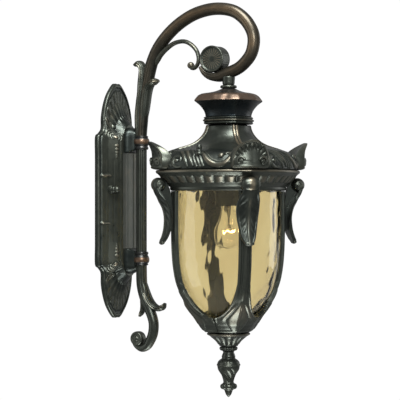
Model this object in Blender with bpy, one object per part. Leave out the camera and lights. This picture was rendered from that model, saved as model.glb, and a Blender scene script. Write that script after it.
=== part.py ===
"""Outdoor wall lantern: a scrolled arm on a cast backplate carries a bowed-square lantern.

The wall is the plane Y = 0 and the lantern stands out from it towards -Y, with +Z up.
The origin lies on the wall at the middle of the backplate's height. Sizes in this file are
millimetres, and MM turns them into Blender's metres where a mesh or a place is made.
"Out" is the distance from the wall, which is -Y.
"""

import math

import bmesh
import bpy
from mathutils import Matrix, Vector

MM = 0.001

# Driving dimensions
LANTERN_OUT = 268.0  # wall to the lantern's upright axis
POST_OUT = 65.0  # wall to the axis of the arm's upright tube
POST_RADIUS = 10.7
BORE_RADIUS = 7.0  # wire way inside the arm
CLEAR = 0.3  # gap between pieces that touch
FACE_BOW = 0.90  # mid-face radius of the bowed square over its corner radius
CORNERS = {"front_right": 0, "rear_right": 90, "rear_left": 180, "front_left": 270}
FACES = {"front": 0, "right": 90, "back": 180, "left": 270}
SIDES = (("left", -1), ("right", 1))
ENDS = (("upper", 1), ("lower", -1))
OUTWARD = (0, -1, 0)
UPWARD = (0, 0, 1)
SHARP_ANGLE = 35  # degrees between faces that are shaded as an edge

# Backplate
PLATE_RIM = 6.0
PLATE_DEPTH = 37.0
PLATE_WALL = 4.5
PLATE_OFF = 0.4  # gap between the plate and the wall
HOLLOW_RIM = 0.3  # share of the rim's depth at which the hollow starts
PLATE_TOP = 242.0
PLATE_SIDE = 77.0
PLATE_OUTLINE = [
    (0, PLATE_TOP), (10, PLATE_TOP), (23, 232), (38, 215), (49, 193), (55, 170),
    (56, 148), (66, 138), (PLATE_SIDE, 129), (PLATE_SIDE, 90), (PLATE_SIDE, 45), (PLATE_SIDE, 0),
]
BOSS_OUTLINE = [
    (0, 156), (5, 155.6), (10, 154), (15, 151), (20, 146), (24, 139.5),
    (26, 133), (27.5, 127), (28, 120), (28, 88), (28, 44), (28, 0),
]
# Share of the way from edge to boss, with the depth there on the flanks and on the palmettes
PLATE_RISE = [
    (0.0, 0.0, 0.0), (0.0, PLATE_RIM, PLATE_RIM), (0.1, 9.5, 8.0), (0.45, 19.0, 10.0),
    (0.78, 31.0, 20.0), (1.0, PLATE_DEPTH, PLATE_DEPTH),
]
PALMETTE_FOOT = 146.0  # outline height where the flank's rise starts to give way
PALMETTE_FULL = 170.0
STUD_SIDE = 50.0  # half the spacing of the plate's two fixing studs
STUD_HEIGHT = 23.0
STUD_RADIUS = 2.5
STUD_HOLE_RADIUS = 2.8
STUD_PROFILE = [(0, 36), (2.5, 36), (2.5, 6), (5, 6), (5, 2.9), (2.5, 2.9), (2.5, 0.3), (0, 0.3)]
NUT_SEAT_OUT = 28.5
SEAT_RADIUS = 8.0
SEAT_START = 19.0
PLATE_NUT_PROFILE = [
    (0, 14), (3, 13.3), (5.4, 11), (6.2, 8), (5.4, 4), (6.6, 3), (6.6, 0), (2.8, 0),
    (2.8, 9.4), (0, 9.4),
]
BRACKET_LOW = (-60, 0, -12)  # wall bracket, corner to corner as (side, out, height)
BRACKET_HIGH = (60, 2.5, 58)
WALL_SLOT_SIDE = 34.0
WALL_SLOT_HEIGHT = 8.0
WALL_SLOT_RADIUS = 2.6
CABLE_HOLE_HEIGHT = 34.0
CABLE_HOLE_RADIUS = 10.0
BLOCK_LOW = (-14, 6, 62)
BLOCK_HIGH = (14, 18, 80)
WIRE_HOLE_RADIUS = 4.6
WIRE_HEIGHT = 119.0  # where the lead passes from the plate into the arm
LUG_SCREW_HEIGHT = 142.0
LUG_SCREW_OUT = 46.5
LUG_SCREW_PROFILE = [(0, 0), (2.5, 0), (2.5, -14), (4.8, -14), (4.8, -17), (0, -17)]

# Arm
JOINT_HEIGHT = 112.0  # where the upright tube ends inside each collar
DRUM_CENTRE = (239.3, 284.1)
DRUM_RADIUS = 26.5
DRUM_WIDTH = 29.0
ARCH_PATH = [
    (65, 112.3), (65.1, 134), (66.6, 160), (71, 202), (80.7, 248), (91.9, 287), (110, 319),
    (138, 347.5), (170.5, 368.7), (203, 381), (240, 385.5), (277, 379.5), (303, 362.5),
    (319.5, 340), (324.8, 319), (320, 294.5), (307, 277), (289, 263.5),
]
ARCH_RADII = [
    10.7, 10.9, 11.6, 12.0, 12.2, 12.4, 12.6, 12.6, 12.6, 12.6, 12.6, 12.6, 12.6,
    12.6, 12.6, 12.5, 12.4, 12.2,
]
CURL_ANGLES = (-50, -75, -100, -125, -150)
CURL_RADII = (11.8, 9.3, 7.0, 5.0, 3.0)
BRANCH_PATH = [
    (90, 276), (103.4, 291), (111.7, 300), (125.9, 311), (144.7, 321.2), (165.8, 323.3),
    (182.5, 316), (195, 303), (199.5, 288.3), (197.5, 276), (190, 268.5), (182.5, 269),
]
BRANCH_RADII = [7.6, 6.6, 5.6, 4.7, 4.2, 4.0, 4.0, 4.0, 4.0, 4.0, 3.9, 3.8]
KNOB_CENTRE = (181.5, 274.0)
KNOB_PROFILE = [(0, 6), (3.5, 6), (5.6, 3.5), (5.6, -3.5), (3.5, -6), (0, -6)]
# Leaves on the arm are lists of (out, height, thickness, half width)
SHEATH_LEAVES = {
    "sheath_leaf_wall": [
        (59.5, 200, 5, 8), (61.5, 225, 12, 10), (66, 252, 14, 10.5), (69.5, 270, 14, 10.5),
        (65, 282, 9, 9.5), (57, 287.5, 5, 8), (50.5, 284.5, 3, 5),
    ],
    "sheath_leaf_front": [
        (82, 200, 5, 8), (86, 218, 10, 9.5), (92, 236, 11, 9.5), (99, 246.5, 7.5, 8.5),
        (107, 249, 4.5, 7), (112, 243, 3, 4.5),
    ],
}
TAIL_PATH = [
    (65, -112.3), (65, -140), (66.3, -173), (73, -199), (82.5, -219.5), (91.5, -240.5),
    (94.3, -256), (92, -274), (84.5, -290),
]
TAIL_RADII = [10.7, 10.9, 11.0, 11.0, 10.8, 10.6, 10.5, 10.4, 9.8]
VOLUTE_CENTRE = (57.0, -284.0)
VOLUTE_TURNS = ((-35, 25.5, 8.8), (-65, 21.5, 7.6), (-100, 15, 7.0))  # degrees, reach, radius
VOLUTE_PROFILE = [(0, 10.5), (11, 10.5), (14.2, 8), (15, 0), (14.2, -8), (11, -10.5), (0, -10.5)]
TAIL_LEAVES = {
    "tail_leaf_front": [
        (75, -190, 9, 8), (86, -206, 11, 9.5), (101, -215.5, 10, 9.5), (113, -216, 8, 8),
        (121, -210.5, 5, 5),
    ],
    "tail_leaf_wall": [
        (72, -196, 7, 8), (73, -215, 8, 8.5), (70.5, -229, 6.5, 7.5), (62.5, -239.5, 3.5, 4),
    ],
}
LUG_SECTIONS = [(37.8, 24, 98, 151), (46, 20, 99, 150), (60, 9, 103, 144)]  # out, half, low, high
LUG_TUBE_ROOM = 12.8
COLLAR_PROFILE = [
    (11.8, 133), (13.4, 133), (14.1, 131.4), (13.1, 129.4), (15.6, 126), (16.2, 121.5),
    (15.2, 116), (12.9, 111.4), (14.1, 109.2), (13.9, 106.2), (13, 105), (11.8, 105),
]
COLLAR_ROOM = [(0, 134.4), (17.4, 134.4), (17.4, 103.6), (0, 103.6)]
LEAD_RADIUS = 1.9
LEAD_START = [
    (12, 80.6), (13, 95), (18, 108), (27, 116.5), (38, WIRE_HEIGHT), (50, WIRE_HEIGHT),
    (59, 119.5), (64, 124), (65.4, 133), (66.4, 145),
]
LEAD_LIFT = 155.0  # above this height the lead follows the arm's centre line
LEAD_TURN = 289.0  # and leaves it here, on the way down into the hanger
LEAD_END = [(282, 260), (274, 256), (269.3, 249)]
LEAD_DROP = (240, 215, 180, 140, 100, 70, 44.8)

# Lantern, heights measured from the origin
STEM_TOP = 249.0
STEM_SOCKET_RADIUS = 11.4
STEM_SOCKET_LOW = 225.0
STEM_PROFILE = [(6.4, STEM_TOP), (11, STEM_TOP), (11, 232), (9, 231.6), (9, 214), (6.4, 214)]
HANGER_RING_PROFILE = [
    (9.4, 231.2), (13, 231.2), (14.8, 229.4), (14.8, 226.4), (13.4, 224.6), (9.4, 224.6),
]
CROWN_PROFILE = [
    (9.4, 224.2), (14, 224), (24, 219), (36, 215.6), (59, 212.8), (69, 198.8), (59.8, 190.4),
    (51.6, 180.6), (47.8, 170.6), (48.5, 167.4), (44, 167.4), (43.5, 171), (47.5, 182),
    (55.5, 192.2), (62, 198.2), (55, 207.5), (34, 211.2), (22, 215), (14, 219), (9.4, 220),
]
NECK_PROFILE = [
    (44, 167.1), (49.5, 167.1), (51.6, 165.6), (50, 163.4), (54.4, 160.4), (50.2, 157.6),
    (51, 155), (48.5, 152.4), (44, 152.4),
]
ROOF_OUTSIDE = [
    (44.7, 152.1), (46, 143), (49.7, 134.5), (58, 123.5), (74.5, 111.4), (104, 102.6),
    (127, 98), (138.7, 89.8), (147.5, 75.4), (146, 61.2),
]
ROOF_INSIDE = [
    (141, 61.2), (142.8, 74.5), (134, 86), (124.5, 93.2), (103, 98), (71.5, 106.8),
    (54, 119.5), (45.5, 131.5), (41.5, 147.5),
]
ROOF_WEB = [(6.7, 147.5), (6.7, 152.1)]  # closes the roof's top round the nipple
ROOF_STUD_SIDE = 121.0
ROOF_SEAT_HEIGHT = 94.5
ROOF_SEAT_DEPTH = 7.1
ROOF_HOLE_RADIUS = 3.3
ROOF_NUT_PROFILE = [
    (0, 15.4), (2.6, 15), (4.6, 13.2), (5.5, 10.4), (5.5, 5.6), (4.7, 4), (6.4, 2.6),
    (6.4, 0), (2.8, 0), (2.8, 10.4), (0, 10.4),
]
# Corner shells by (height, front, back, half width), distances from the lantern's axis
SHELL_ROWS = [
    (61.6, 149, 118, 33), (67, 158, 120, 37), (76, 160.5, 124, 37.5), (88, 159, 130, 35),
    (99, 158.5, 136, 29), (107, 160, 146, 21), (113, 162.5, 154, 12.5), (116.5, 164, 159.5, 5),
]
SHELL_FRONT_BEND = 0.012
SHELL_BACK_BEND = 0.004
NIPPLE_PROFILE = [(4, 246), (6, 246), (6, 47.5), (4, 47.5)]
LOCKNUT_PROFILE = [(7.2, 147.1), (11.5, 147.1), (11.5, 141), (7.2, 141)]
GALLERY_PROFILE = [
    (146, 60.8), (150.3, 57), (145, 50.4), (139.8, 47.4), (131, 38), (123.5, 28),
    (117.8, 19.6), (112.6, 19.6), (113.2, 25), (120.5, 36), (129, 46), (133.5, 52.5),
    (124, 54.5), (124, 60.8),
]
GALLERY_STUD_LENGTH = 49.5
GALLERY_STUD_LOW = 54.5
CAGE_CURVE = [
    (117, 19.2), (117.2, -40), (116.6, -80), (115.6, -105), (113, -133), (107, -163),
    (96, -189), (79.5, -215), (66, -233), (56.5, -250), (46.5, -262),
]
RIB_HALF_WIDTHS = [12.9, 12.9, 12.9, 12.9, 13.0, 13.6, 17.0, 25.0, 27.0, 16.0, 5.0]
RIB_THICKNESS = 6.0
GLASS_THICKNESS = 3.0
GLASS_LAP = 6.0  # how far a pane reaches behind a rib
PANE_TOP = 30.0
# Brackets by (distance from the axis, height, thickness, half width)
BRACKET_STATIONS = [
    (137, 33, 6, 15), (138, 43, 7, 17), (147, 46.5, 8, 18), (156, 41, 8, 18.5),
    (157, 30, 8, 18.5), (150, 17, 8, 20), (140.5, 2, 8, 23), (132.5, -14, 8, 23.5),
    (129.2, -33, 8, 21), (130.8, -57, 8, 17.5), (137, -75, 7.5, 15), (139.5, -83.5, 4.5, 10),
]
BRACKET_WEB = [
    (113, 24), (151, 40), (150, 26), (136, 0), (130, -20), (127, -40), (128, -60), (117, -66),
]
BRACKET_WEB_HALF = 5.0
BRACKET_CLEAR = 0.4
CUP_TOP = -231.0
CUP_BOTTOM = -263.0
BASE_BOTTOM = -290.0
CUP_PROFILE = [
    (60, CUP_TOP), (49, -249.5), (38.5, CUP_BOTTOM), (3.6, CUP_BOTTOM), (3.6, -259.5),
    (36, -259.5), (46, -247.5), (57, CUP_TOP),
]
BASE_PROFILE = [
    (3.6, -263.4), (40.6, -263.4), (42.4, -265.2), (42.4, -267.8), (40.4, -269.4),
    (37.5, -273), (30, -278.5), (22, -284.5), (17.5, BASE_BOTTOM), (3.6, BASE_BOTTOM),
]
FINIAL_STUD_PROFILE = [(0, -250), (2.7, -250), (2.7, -312), (0, -312)]
FINIAL_NUT_PROFILE = [(3.5, -253), (6.5, -253), (6.5, -259.1), (3.5, -259.1)]
FINIAL_PROFILE = [
    (3.1, -290.5), (13, -290.5), (17.6, -293), (17.6, -297.4), (13, -300), (10.6, -303),
    (13.9, -311), (13, -315), (20, -320.5), (23.2, -327.4), (20.5, -337), (14.2, -347.8),
    (10.2, -358), (9.7, -364), (15.8, -369), (15, -374.5), (8.4, -378), (7.2, -382),
    (3.6, -389), (0, -393), (0, -313), (3.1, -313),
]

# Lamp
COVER_PROFILE = [
    (6.4, 52), (14, 52), (23, 48.5), (29, 41), (30, 30), (30, -10), (28.6, -10), (28.6, 30),
    (27.6, 40.2), (22.2, 47), (14, 50.4), (6.4, 50.4),
]
HOLDER_PROFILE = [(0, 44.4), (18, 44.4), (24, 38), (24, -6), (13.8, -6), (13.8, 14.6), (0, 14.6)]
CAP_PROFILE = [(0, 14), (4.5, 14), (7.5, 10.5), (13.2, 7), (13.2, -9), (0, -9)]
FILAMENT_PROFILE = [
    (0, -9.8), (6, -9.8), (5, -24), (2.2, -44), (1.2, -60), (5.5, -62), (5.5, -64), (0, -65),
]
BULB_PROFILE = [
    (13.2, -9.4), (14.4, -20), (20.5, -38), (27.5, -54), (30, -68), (28, -81), (20, -91.5),
    (9, -97.4), (0, -98.6),
]
GLASS_WALL = 1.0

# Colour, roughness and metallic value of each finish
FINISHES = {
    "bronze": ((0.045, 0.05, 0.045), 0.42, 0.8),
    "rubbed_bronze": ((0.13, 0.075, 0.045), 0.38, 0.85),
    "amber_glass": ((0.78, 0.6, 0.28), 0.12, 0.0),
    "clear_glass": ((0.9, 0.9, 0.88), 0.05, 0.0),
    "steel": ((0.55, 0.55, 0.55), 0.4, 1.0),
    "brass": ((0.7, 0.5, 0.2), 0.35, 1.0),
    "porcelain": ((0.85, 0.84, 0.8), 0.3, 0.0),
    "rubber": ((0.03, 0.03, 0.03), 0.8, 0.0),
}


def clear_scene():
    for obj in list(bpy.data.objects):
        bpy.data.objects.remove(obj, do_unlink=True)


def finish(name):
    material = bpy.data.materials.get(name)
    if material:
        return material
    colour, roughness, metallic = FINISHES[name]
    material = bpy.data.materials.new(name)
    material.use_nodes = True
    shader = material.node_tree.nodes["Principled BSDF"]
    shader.inputs["Base Color"].default_value = (*colour, 1)
    shader.inputs["Roughness"].default_value = roughness
    shader.inputs["Metallic"].default_value = metallic
    return material


def place(name, mesh, material, out=0.0, parent=None, side=0.0, height=0.0):
    """Puts a mesh in the scene as a piece, with its origin at (side, out, height)."""
    obj = bpy.data.objects.new(name, mesh)
    if not mesh.materials:
        mesh.materials.append(finish(material))
    mesh.shade_smooth()
    mesh.set_sharp_from_angle(angle=math.radians(SHARP_ANGLE))
    bpy.context.scene.collection.objects.link(obj)
    obj.location = Vector((side, -out, height)) * MM
    if parent:
        obj.location -= parent.location
        obj.parent = parent
    return obj


def mesh_from(name, bm):
    bmesh.ops.remove_doubles(bm, verts=bm.verts, dist=1e-6)
    bmesh.ops.recalc_face_normals(bm, faces=bm.faces)
    mesh = bpy.data.meshes.new(name)
    bm.to_mesh(mesh)
    bm.free()
    return mesh


def plan_scale(angle):
    """Radius of the bowed square at an angle, over its corner radius: four arcs between corners."""
    bow = (1 - FACE_BOW**2) / (math.sqrt(2) - 2 * FACE_BOW)
    arc = FACE_BOW - bow
    turn = (angle + math.pi / 4) % (math.pi / 2) - math.pi / 4
    return bow * math.cos(turn) + math.sqrt(arc**2 - (bow * math.sin(turn)) ** 2)


def squared(bm, round_within=14.0, square_from=36.0):
    """Turns a round mesh into a bowed square one, but keeps its middle round."""
    for vert in bm.verts:
        radius = math.hypot(vert.co.x, vert.co.y)
        share = (radius / MM - round_within) / (square_from - round_within)
        share = min(max(share, 0.0), 1.0)
        scale = 1 + share * (plan_scale(math.atan2(vert.co.y, vert.co.x)) - 1)
        vert.co.x *= scale
        vert.co.y *= scale


def turned(name, profile, segments=20, ring=False, square=False):
    """Mesh spun about Z from (radius, height) points; a ring's profile is a closed loop."""
    bm = bmesh.new()
    verts = [bm.verts.new((radius * MM, 0, height * MM)) for radius, height in profile]
    pairs = list(zip(verts, verts[1:]))
    if ring:
        pairs.append((verts[-1], verts[0]))
    edges = [bm.edges.new(pair) for pair in pairs if pair[0].co.x or pair[1].co.x]
    bmesh.ops.spin(
        bm, geom=verts + edges, cent=(0, 0, 0), axis=(0, 0, 1), angle=2 * math.pi,
        steps=segments, use_merge=True,
    )
    if square:
        bmesh.ops.remove_doubles(bm, verts=bm.verts, dist=1e-6)
        squared(bm)
    return mesh_from(name, bm)


def moved_out(profile, distance):
    """A profile shifted along its own normals, which lie to the left of its direction."""
    shifted = []
    for index, point in enumerate(profile):
        before = Vector(profile[max(index - 1, 0)])
        after = Vector(profile[min(index + 1, len(profile) - 1)])
        along = (after - before).normalized()
        shifted.append((point[0] - along.y * distance, point[1] + along.x * distance))
    return shifted


def smooth_path(points, steps=2):
    """Catmull-Rom curve through the points, with steps pieces to each span."""
    ends = [points[0], *points, points[-1]]
    path = []
    for a, b, c, d in zip(ends, ends[1:], ends[2:], ends[3:]):
        for step in range(steps):
            t = step / steps
            path.append(
                tuple(
                    0.5 * (2 * q + (r - p) * t + (2 * p - 5 * q + 4 * r - s) * t**2
                           + (3 * q - p - 3 * r + s) * t**3)
                    for p, q, r, s in zip(a, b, c, d)
                )
            )
    path.append(tuple(points[-1]))
    return path


def add_ring(bm, centre, normal, radius, sides):
    """A ring of points round a path in the plane X = 0; centre and normal are (out, height)."""
    ring = []
    for index in range(sides):
        turn = 2 * math.pi * index / sides
        reach = radius * math.sin(turn)
        x = radius * math.cos(turn)
        out = centre[0] + reach * normal[0]
        height = centre[1] + reach * normal[1]
        ring.append(bm.verts.new(Vector((x, -out, height)) * MM))
    return ring


def skin(bm, rings):
    for first, second in zip(rings, rings[1:]):
        count = len(first)
        for index in range(count):
            after = (index + 1) % count
            bm.faces.new((first[index], first[after], second[after], second[index]))


def tube(name, path, radii, sides=12, bore=0.0, bore_end=None):
    """Solid or bored tube along (out, height) points; a bore that stops short is blind."""
    bm = bmesh.new()
    outer = []
    inner = []
    last = len(path) - 1
    for index, point in enumerate(path):
        before = Vector(path[max(index - 1, 0)])
        after = Vector(path[min(index + 1, last)])
        along = (after - before).normalized()
        normal = (-along.y, along.x)
        outer.append(add_ring(bm, point, normal, radii[index], sides))
        if bore and (bore_end is None or index <= bore_end):
            inner.append(add_ring(bm, point, normal, bore, sides))
    skin(bm, outer)
    if inner:
        skin(bm, inner)
        skin(bm, [outer[0], inner[0]])
        if bore_end is None:
            skin(bm, [outer[-1], inner[-1]])
        else:
            bm.faces.new(inner[-1])
            bm.faces.new(outer[-1])
    else:
        bm.faces.new(outer[0])
        bm.faces.new(outer[-1])
    return mesh_from(name, bm)


def eased(points, values, steps=2):
    """A smooth path and its radii together."""
    both = smooth_path([(*point, value) for point, value in zip(points, values)], steps)
    return [(row[0], row[1]) for row in both], [row[2] for row in both]


def strip(name, stations, crown):
    """Leaf-like strip: stations are (reach, height, thickness, half width) along its length.

    Reach runs along +X here, so a piece on a corner or on the arm is turned into place.
    """
    bm = bmesh.new()
    rings = []
    last = len(stations) - 1
    for index, (reach, height, thick, half) in enumerate(stations):
        before = Vector(stations[max(index - 1, 0)][:2])
        after = Vector(stations[min(index + 1, last)][:2])
        along = (after - before).normalized()
        normal = Vector((along.y, -along.x))
        section = [
            (-half, -0.5), (half, -0.5), (half, 0.5 - crown), (half * 0.45, 0.5),
            (-half * 0.45, 0.5), (-half, 0.5 - crown),
        ]
        ring = []
        for side, level in section:
            x = reach + normal.x * level * thick
            z = height + normal.y * level * thick
            ring.append(bm.verts.new(Vector((x, side, z)) * MM))
        rings.append(ring)
    skin(bm, rings)
    bm.faces.new(rings[0])
    bm.faces.new(rings[-1])
    return mesh_from(name, bm)


def wrapped_patch(name, rows, columns):
    """Thick sheet on the bowed square, centred on +X.

    Rows are (corner radius, height, half angle, thickness, turn): with a turn of zero the sheet
    lies in the middle of a face, and with 45 degrees it wraps a corner.
    """
    bm = bmesh.new()
    sheets = ([], [])
    for radius, height, half_angle, thick, corner_turn in rows:
        for sheet, inset in zip(sheets, (0.0, thick)):
            line = []
            for column in range(columns + 1):
                angle = half_angle * (2 * column / columns - 1)
                reach = (radius - inset) * plan_scale(angle + corner_turn)
                at = Vector((reach * math.cos(angle), reach * math.sin(angle), height))
                line.append(bm.verts.new(at * MM))
            sheet.append(line)
    outside, inside = sheets
    for sheet in sheets:
        for low, high in zip(sheet, sheet[1:]):
            for column in range(columns):
                bm.faces.new((low[column], low[column + 1], high[column + 1], high[column]))
    for row in (0, -1):
        for column in range(columns):
            bm.faces.new((
                outside[row][column], outside[row][column + 1],
                inside[row][column + 1], inside[row][column],
            ))
    for column in (0, -1):
        for row in range(len(rows) - 1):
            bm.faces.new((
                outside[row][column], outside[row + 1][column],
                inside[row + 1][column], inside[row][column],
            ))
    return mesh_from(name, bm)


def rod_mesh(name, radius, length, sides=12):
    """Plain rod along +Z from its origin, used for shanks and for cutters."""
    return turned(name, [(0, length), (radius, length), (radius, 0), (0, 0)], sides)


def as_cutter(obj):
    obj.hide_render = True
    obj.display_type = "WIRE"
    return obj


def hole(name, radius, start, direction, length, sides=12):
    """Cutter rod from start, given as (side, out, height), along a world direction."""
    side, out, height = start
    obj = place(name, rod_mesh(name, radius, length, sides), "steel", out, None, side, height)
    obj.rotation_mode = "QUATERNION"
    obj.rotation_quaternion = Vector(direction).to_track_quat("Z", "Y")
    return as_cutter(obj)


def boolean(obj, other, operation="DIFFERENCE"):
    modifier = obj.modifiers.new(f"{operation.lower()}_{other.name}", "BOOLEAN")
    modifier.operation = operation
    modifier.solver = "EXACT"
    modifier.object = other
    as_cutter(other)


def copies(prefix, mesh, material, places, parent=None, turn=0.0):
    """One object for each corner or face, turned about the lantern's axis."""
    found = []
    for label, degrees in places.items():
        obj = place(f"{prefix}_{label}", mesh, material, LANTERN_OUT, parent)
        obj.rotation_euler.z = math.radians(degrees + turn)
        found.append(obj)
    return found


def box(name, low, high):
    """Box between two corners given as (side, out, height)."""
    bm = bmesh.new()
    size = [abs(b - a) * MM for a, b in zip(low, high)]
    middle = [(a + b) / 2 * MM for a, b in zip(low, high)]
    matrix = Matrix.Translation((middle[0], -middle[1], middle[2]))
    bmesh.ops.create_cube(bm, size=1, matrix=matrix @ Matrix.Diagonal((*size, 1)))
    return mesh_from(name, bm)


# ---------------------------------------------------------------- wall plate


def plate_loop(share, flank, palmette, inset, hollow=0.0):
    """Points (side, depth, height) round the plate, part of the way from its edge to its boss.

    The depth runs from the flank's to the palmette's as the outline climbs, and a hollow loop
    lies behind the face by the wall's thickness.
    """
    quarter = []
    for (edge_side, edge_height), (boss_side, boss_height) in zip(PLATE_OUTLINE, BOSS_OUTLINE):
        side = edge_side + (boss_side - edge_side) * share
        height = edge_height + (boss_height - edge_height) * share
        climb = (edge_height - PALMETTE_FOOT) / (PALMETTE_FULL - PALMETTE_FOOT)
        climb = min(max(climb, 0.0), 1.0)
        depth = flank + (palmette - flank) * climb
        side *= 1 - inset / PLATE_SIDE
        height *= 1 - inset / PLATE_TOP
        quarter.append((side, depth - hollow, height))
    right = quarter + [(side, depth, -height) for side, depth, height in reversed(quarter[:-1])]
    return right + [(-side, depth, height) for side, depth, height in reversed(right[1:-1])]


def backplate_mesh():
    bm = bmesh.new()
    rings = []
    hollows = []
    for share, flank, palmette in PLATE_RISE:
        loop = plate_loop(share, flank, palmette, 0.0)
        if flank > PLATE_RIM:
            behind = plate_loop(share, flank, palmette, PLATE_WALL, PLATE_WALL)
        else:
            behind = plate_loop(share, flank * HOLLOW_RIM, palmette * HOLLOW_RIM, PLATE_WALL)
        for found, points in ((rings, loop), (hollows, behind)):
            found.append([bm.verts.new(Vector((x, -d - PLATE_OFF, z)) * MM) for x, d, z in points])
    skin(bm, rings)
    skin(bm, hollows)
    skin(bm, [rings[0], hollows[0]])
    bm.faces.new(rings[-1])
    bm.faces.new(hollows[-1])
    return mesh_from("backplate", bm)


def build_wall_plate():
    plate = place("backplate", backplate_mesh(), "bronze")
    bracket = place("wall_bracket", box("wall_bracket", BRACKET_LOW, BRACKET_HIGH), "steel")
    through = BRACKET_HIGH[1] + 20
    cable_hole = (0, -5, CABLE_HOLE_HEIGHT)
    boolean(bracket, hole("cable_hole", CABLE_HOLE_RADIUS, cable_hole, OUTWARD, through, 20))
    for label, sign in SIDES:
        side = sign * STUD_SIDE
        start = (side, SEAT_START, STUD_HEIGHT)
        seat = hole(f"nut_seat_{label}", SEAT_RADIUS, start, OUTWARD, NUT_SEAT_OUT - SEAT_START)
        boolean(plate, seat, "UNION")
        start = (side, -5, STUD_HEIGHT)
        stud_hole = hole(f"stud_hole_{label}", STUD_HOLE_RADIUS, start, OUTWARD, 50)
        boolean(plate, stud_hole)
        boolean(bracket, stud_hole)
        start = (sign * WALL_SLOT_SIDE, -5, WALL_SLOT_HEIGHT)
        boolean(bracket, hole(f"wall_slot_{label}", WALL_SLOT_RADIUS, start, OUTWARD, through))
        stud = turned("fixing_stud", STUD_PROFILE, 12)
        stud = place(f"fixing_stud_{label}", stud, "steel", 0, None, side, STUD_HEIGHT)
        nut = turned("plate_cap_nut", PLATE_NUT_PROFILE, 12)
        nut_out = NUT_SEAT_OUT + CLEAR
        nut_name = f"plate_cap_nut_{label}"
        nut = place(nut_name, nut, "rubbed_bronze", nut_out, None, side, STUD_HEIGHT)
        for turned_part in (stud, nut):
            turned_part.rotation_euler.x = math.pi / 2
    for label, sign in ENDS:
        height = sign * LUG_SCREW_HEIGHT
        boolean(plate, hole(f"lug_hole_{label}", STUD_HOLE_RADIUS, (0, 20, height), OUTWARD, 28))
        screw = turned("lug_screw", LUG_SCREW_PROFILE, 12)
        screw = place(f"lug_screw_{label}", screw, "steel", LUG_SCREW_OUT, None, 0, height)
        screw.rotation_euler.x = math.pi / 2
    boolean(plate, wire_hole())
    place("terminal_block", box("terminal_block", BLOCK_LOW, BLOCK_HIGH), "porcelain")


def wire_hole():
    found = bpy.data.objects.get("wire_hole")
    start = (0, 20, WIRE_HEIGHT)
    return found or hole("wire_hole", WIRE_HOLE_RADIUS, start, OUTWARD, POST_OUT - 21, 10)


# ---------------------------------------------------------------------- arm


def arch_line():
    curl = []
    for degrees, radius in zip(CURL_ANGLES, CURL_RADII):
        reach = DRUM_RADIUS + radius + CLEAR + 0.2
        turn = math.radians(degrees)
        curl.append((
            DRUM_CENTRE[0] + reach * math.cos(turn), DRUM_CENTRE[1] + reach * math.sin(turn)
        ))
    return ARCH_PATH + curl, ARCH_RADII + list(CURL_RADII)


def lug_mesh(sign):
    """Block from the plate's boss to the upright tube, with its outer end rounded."""
    bm = bmesh.new()
    rings = []
    for out, half, low, high in LUG_SECTIONS:
        shoulder = high - half * 0.32
        foot = high - half * 0.8
        loop = [
            (-half, low), (half, low), (half, foot), (half * 0.85, shoulder), (half * 0.45, high),
            (-half * 0.45, high), (-half * 0.85, shoulder), (-half, foot),
        ]
        rings.append([bm.verts.new(Vector((s, -out, sign * h)) * MM) for s, h in loop])
    skin(bm, rings)
    bm.faces.new(rings[0])
    bm.faces.new(rings[-1])
    return mesh_from("arm_lug", bm)


def build_post_and_arch():
    post_height = JOINT_HEIGHT - CLEAR
    post_path = [(POST_OUT, height) for height in (-post_height, 0, post_height)]
    post = tube("post_tube", post_path, [POST_RADIUS] * 3, 12, BORE_RADIUS)
    place("post_tube", post, "bronze")

    path, radii = arch_line()
    # The wire way stops above the hanger, and the scroll's end is solid.
    wire_end = path.index(min(path[len(path) // 2:], key=lambda p: abs(p[0] - LANTERN_OUT)))
    arch = place("arm_arch", tube("arm_arch", path, radii, 12, BORE_RADIUS, wire_end), "bronze")
    boolean(arch, wire_hole())
    start = (0, LANTERN_OUT, STEM_SOCKET_LOW)
    depth = STEM_TOP + 3 - STEM_SOCKET_LOW
    boolean(arch, hole("stem_socket", STEM_SOCKET_RADIUS, start, UPWARD, depth))
    room = tube("arch_clearance", path, [radius + CLEAR for radius in radii], 12)
    return path, as_cutter(place("arch_clearance", room, "steel"))


def build_branch_and_leaves(arch_clearance):
    branch_path, branch_radii = eased(BRANCH_PATH, BRANCH_RADII)
    branch = place("branch_scroll", tube("branch_scroll", branch_path, branch_radii, 8), "bronze")
    knob = turned("branch_knob", KNOB_PROFILE, 12)
    knob = place("branch_knob", knob, "bronze", KNOB_CENTRE[0], None, 0, KNOB_CENTRE[1])
    knob.rotation_euler.y = math.pi / 2
    boolean(branch, knob, "UNION")
    boolean(branch, arch_clearance)
    for label, stations in SHEATH_LEAVES.items():
        leaf = place(label, strip(label, stations, 0.3), "bronze")
        leaf.rotation_euler.z = -math.pi / 2
        boolean(leaf, arch_clearance)


def build_tail():
    tail_path = list(TAIL_PATH)
    tail_radii = list(TAIL_RADII)
    for degrees, reach, radius in VOLUTE_TURNS:
        turn = math.radians(degrees)
        tail_path.append((
            VOLUTE_CENTRE[0] + reach * math.cos(turn), VOLUTE_CENTRE[1] + reach * math.sin(turn)
        ))
        tail_radii.append(radius)
    tail = place("arm_tail", tube("arm_tail", tail_path, tail_radii, 12), "bronze")
    roll = turned("tail_volute", VOLUTE_PROFILE, 16)
    roll = place("tail_volute", roll, "bronze", VOLUTE_CENTRE[0], None, 0, VOLUTE_CENTRE[1])
    roll.rotation_euler.y = math.pi / 2
    boolean(tail, roll, "UNION")
    for label, stations in TAIL_LEAVES.items():
        spur = place(label, strip(label, stations, 0.3), "bronze")
        spur.rotation_euler.z = -math.pi / 2
        boolean(tail, spur, "UNION")


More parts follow.
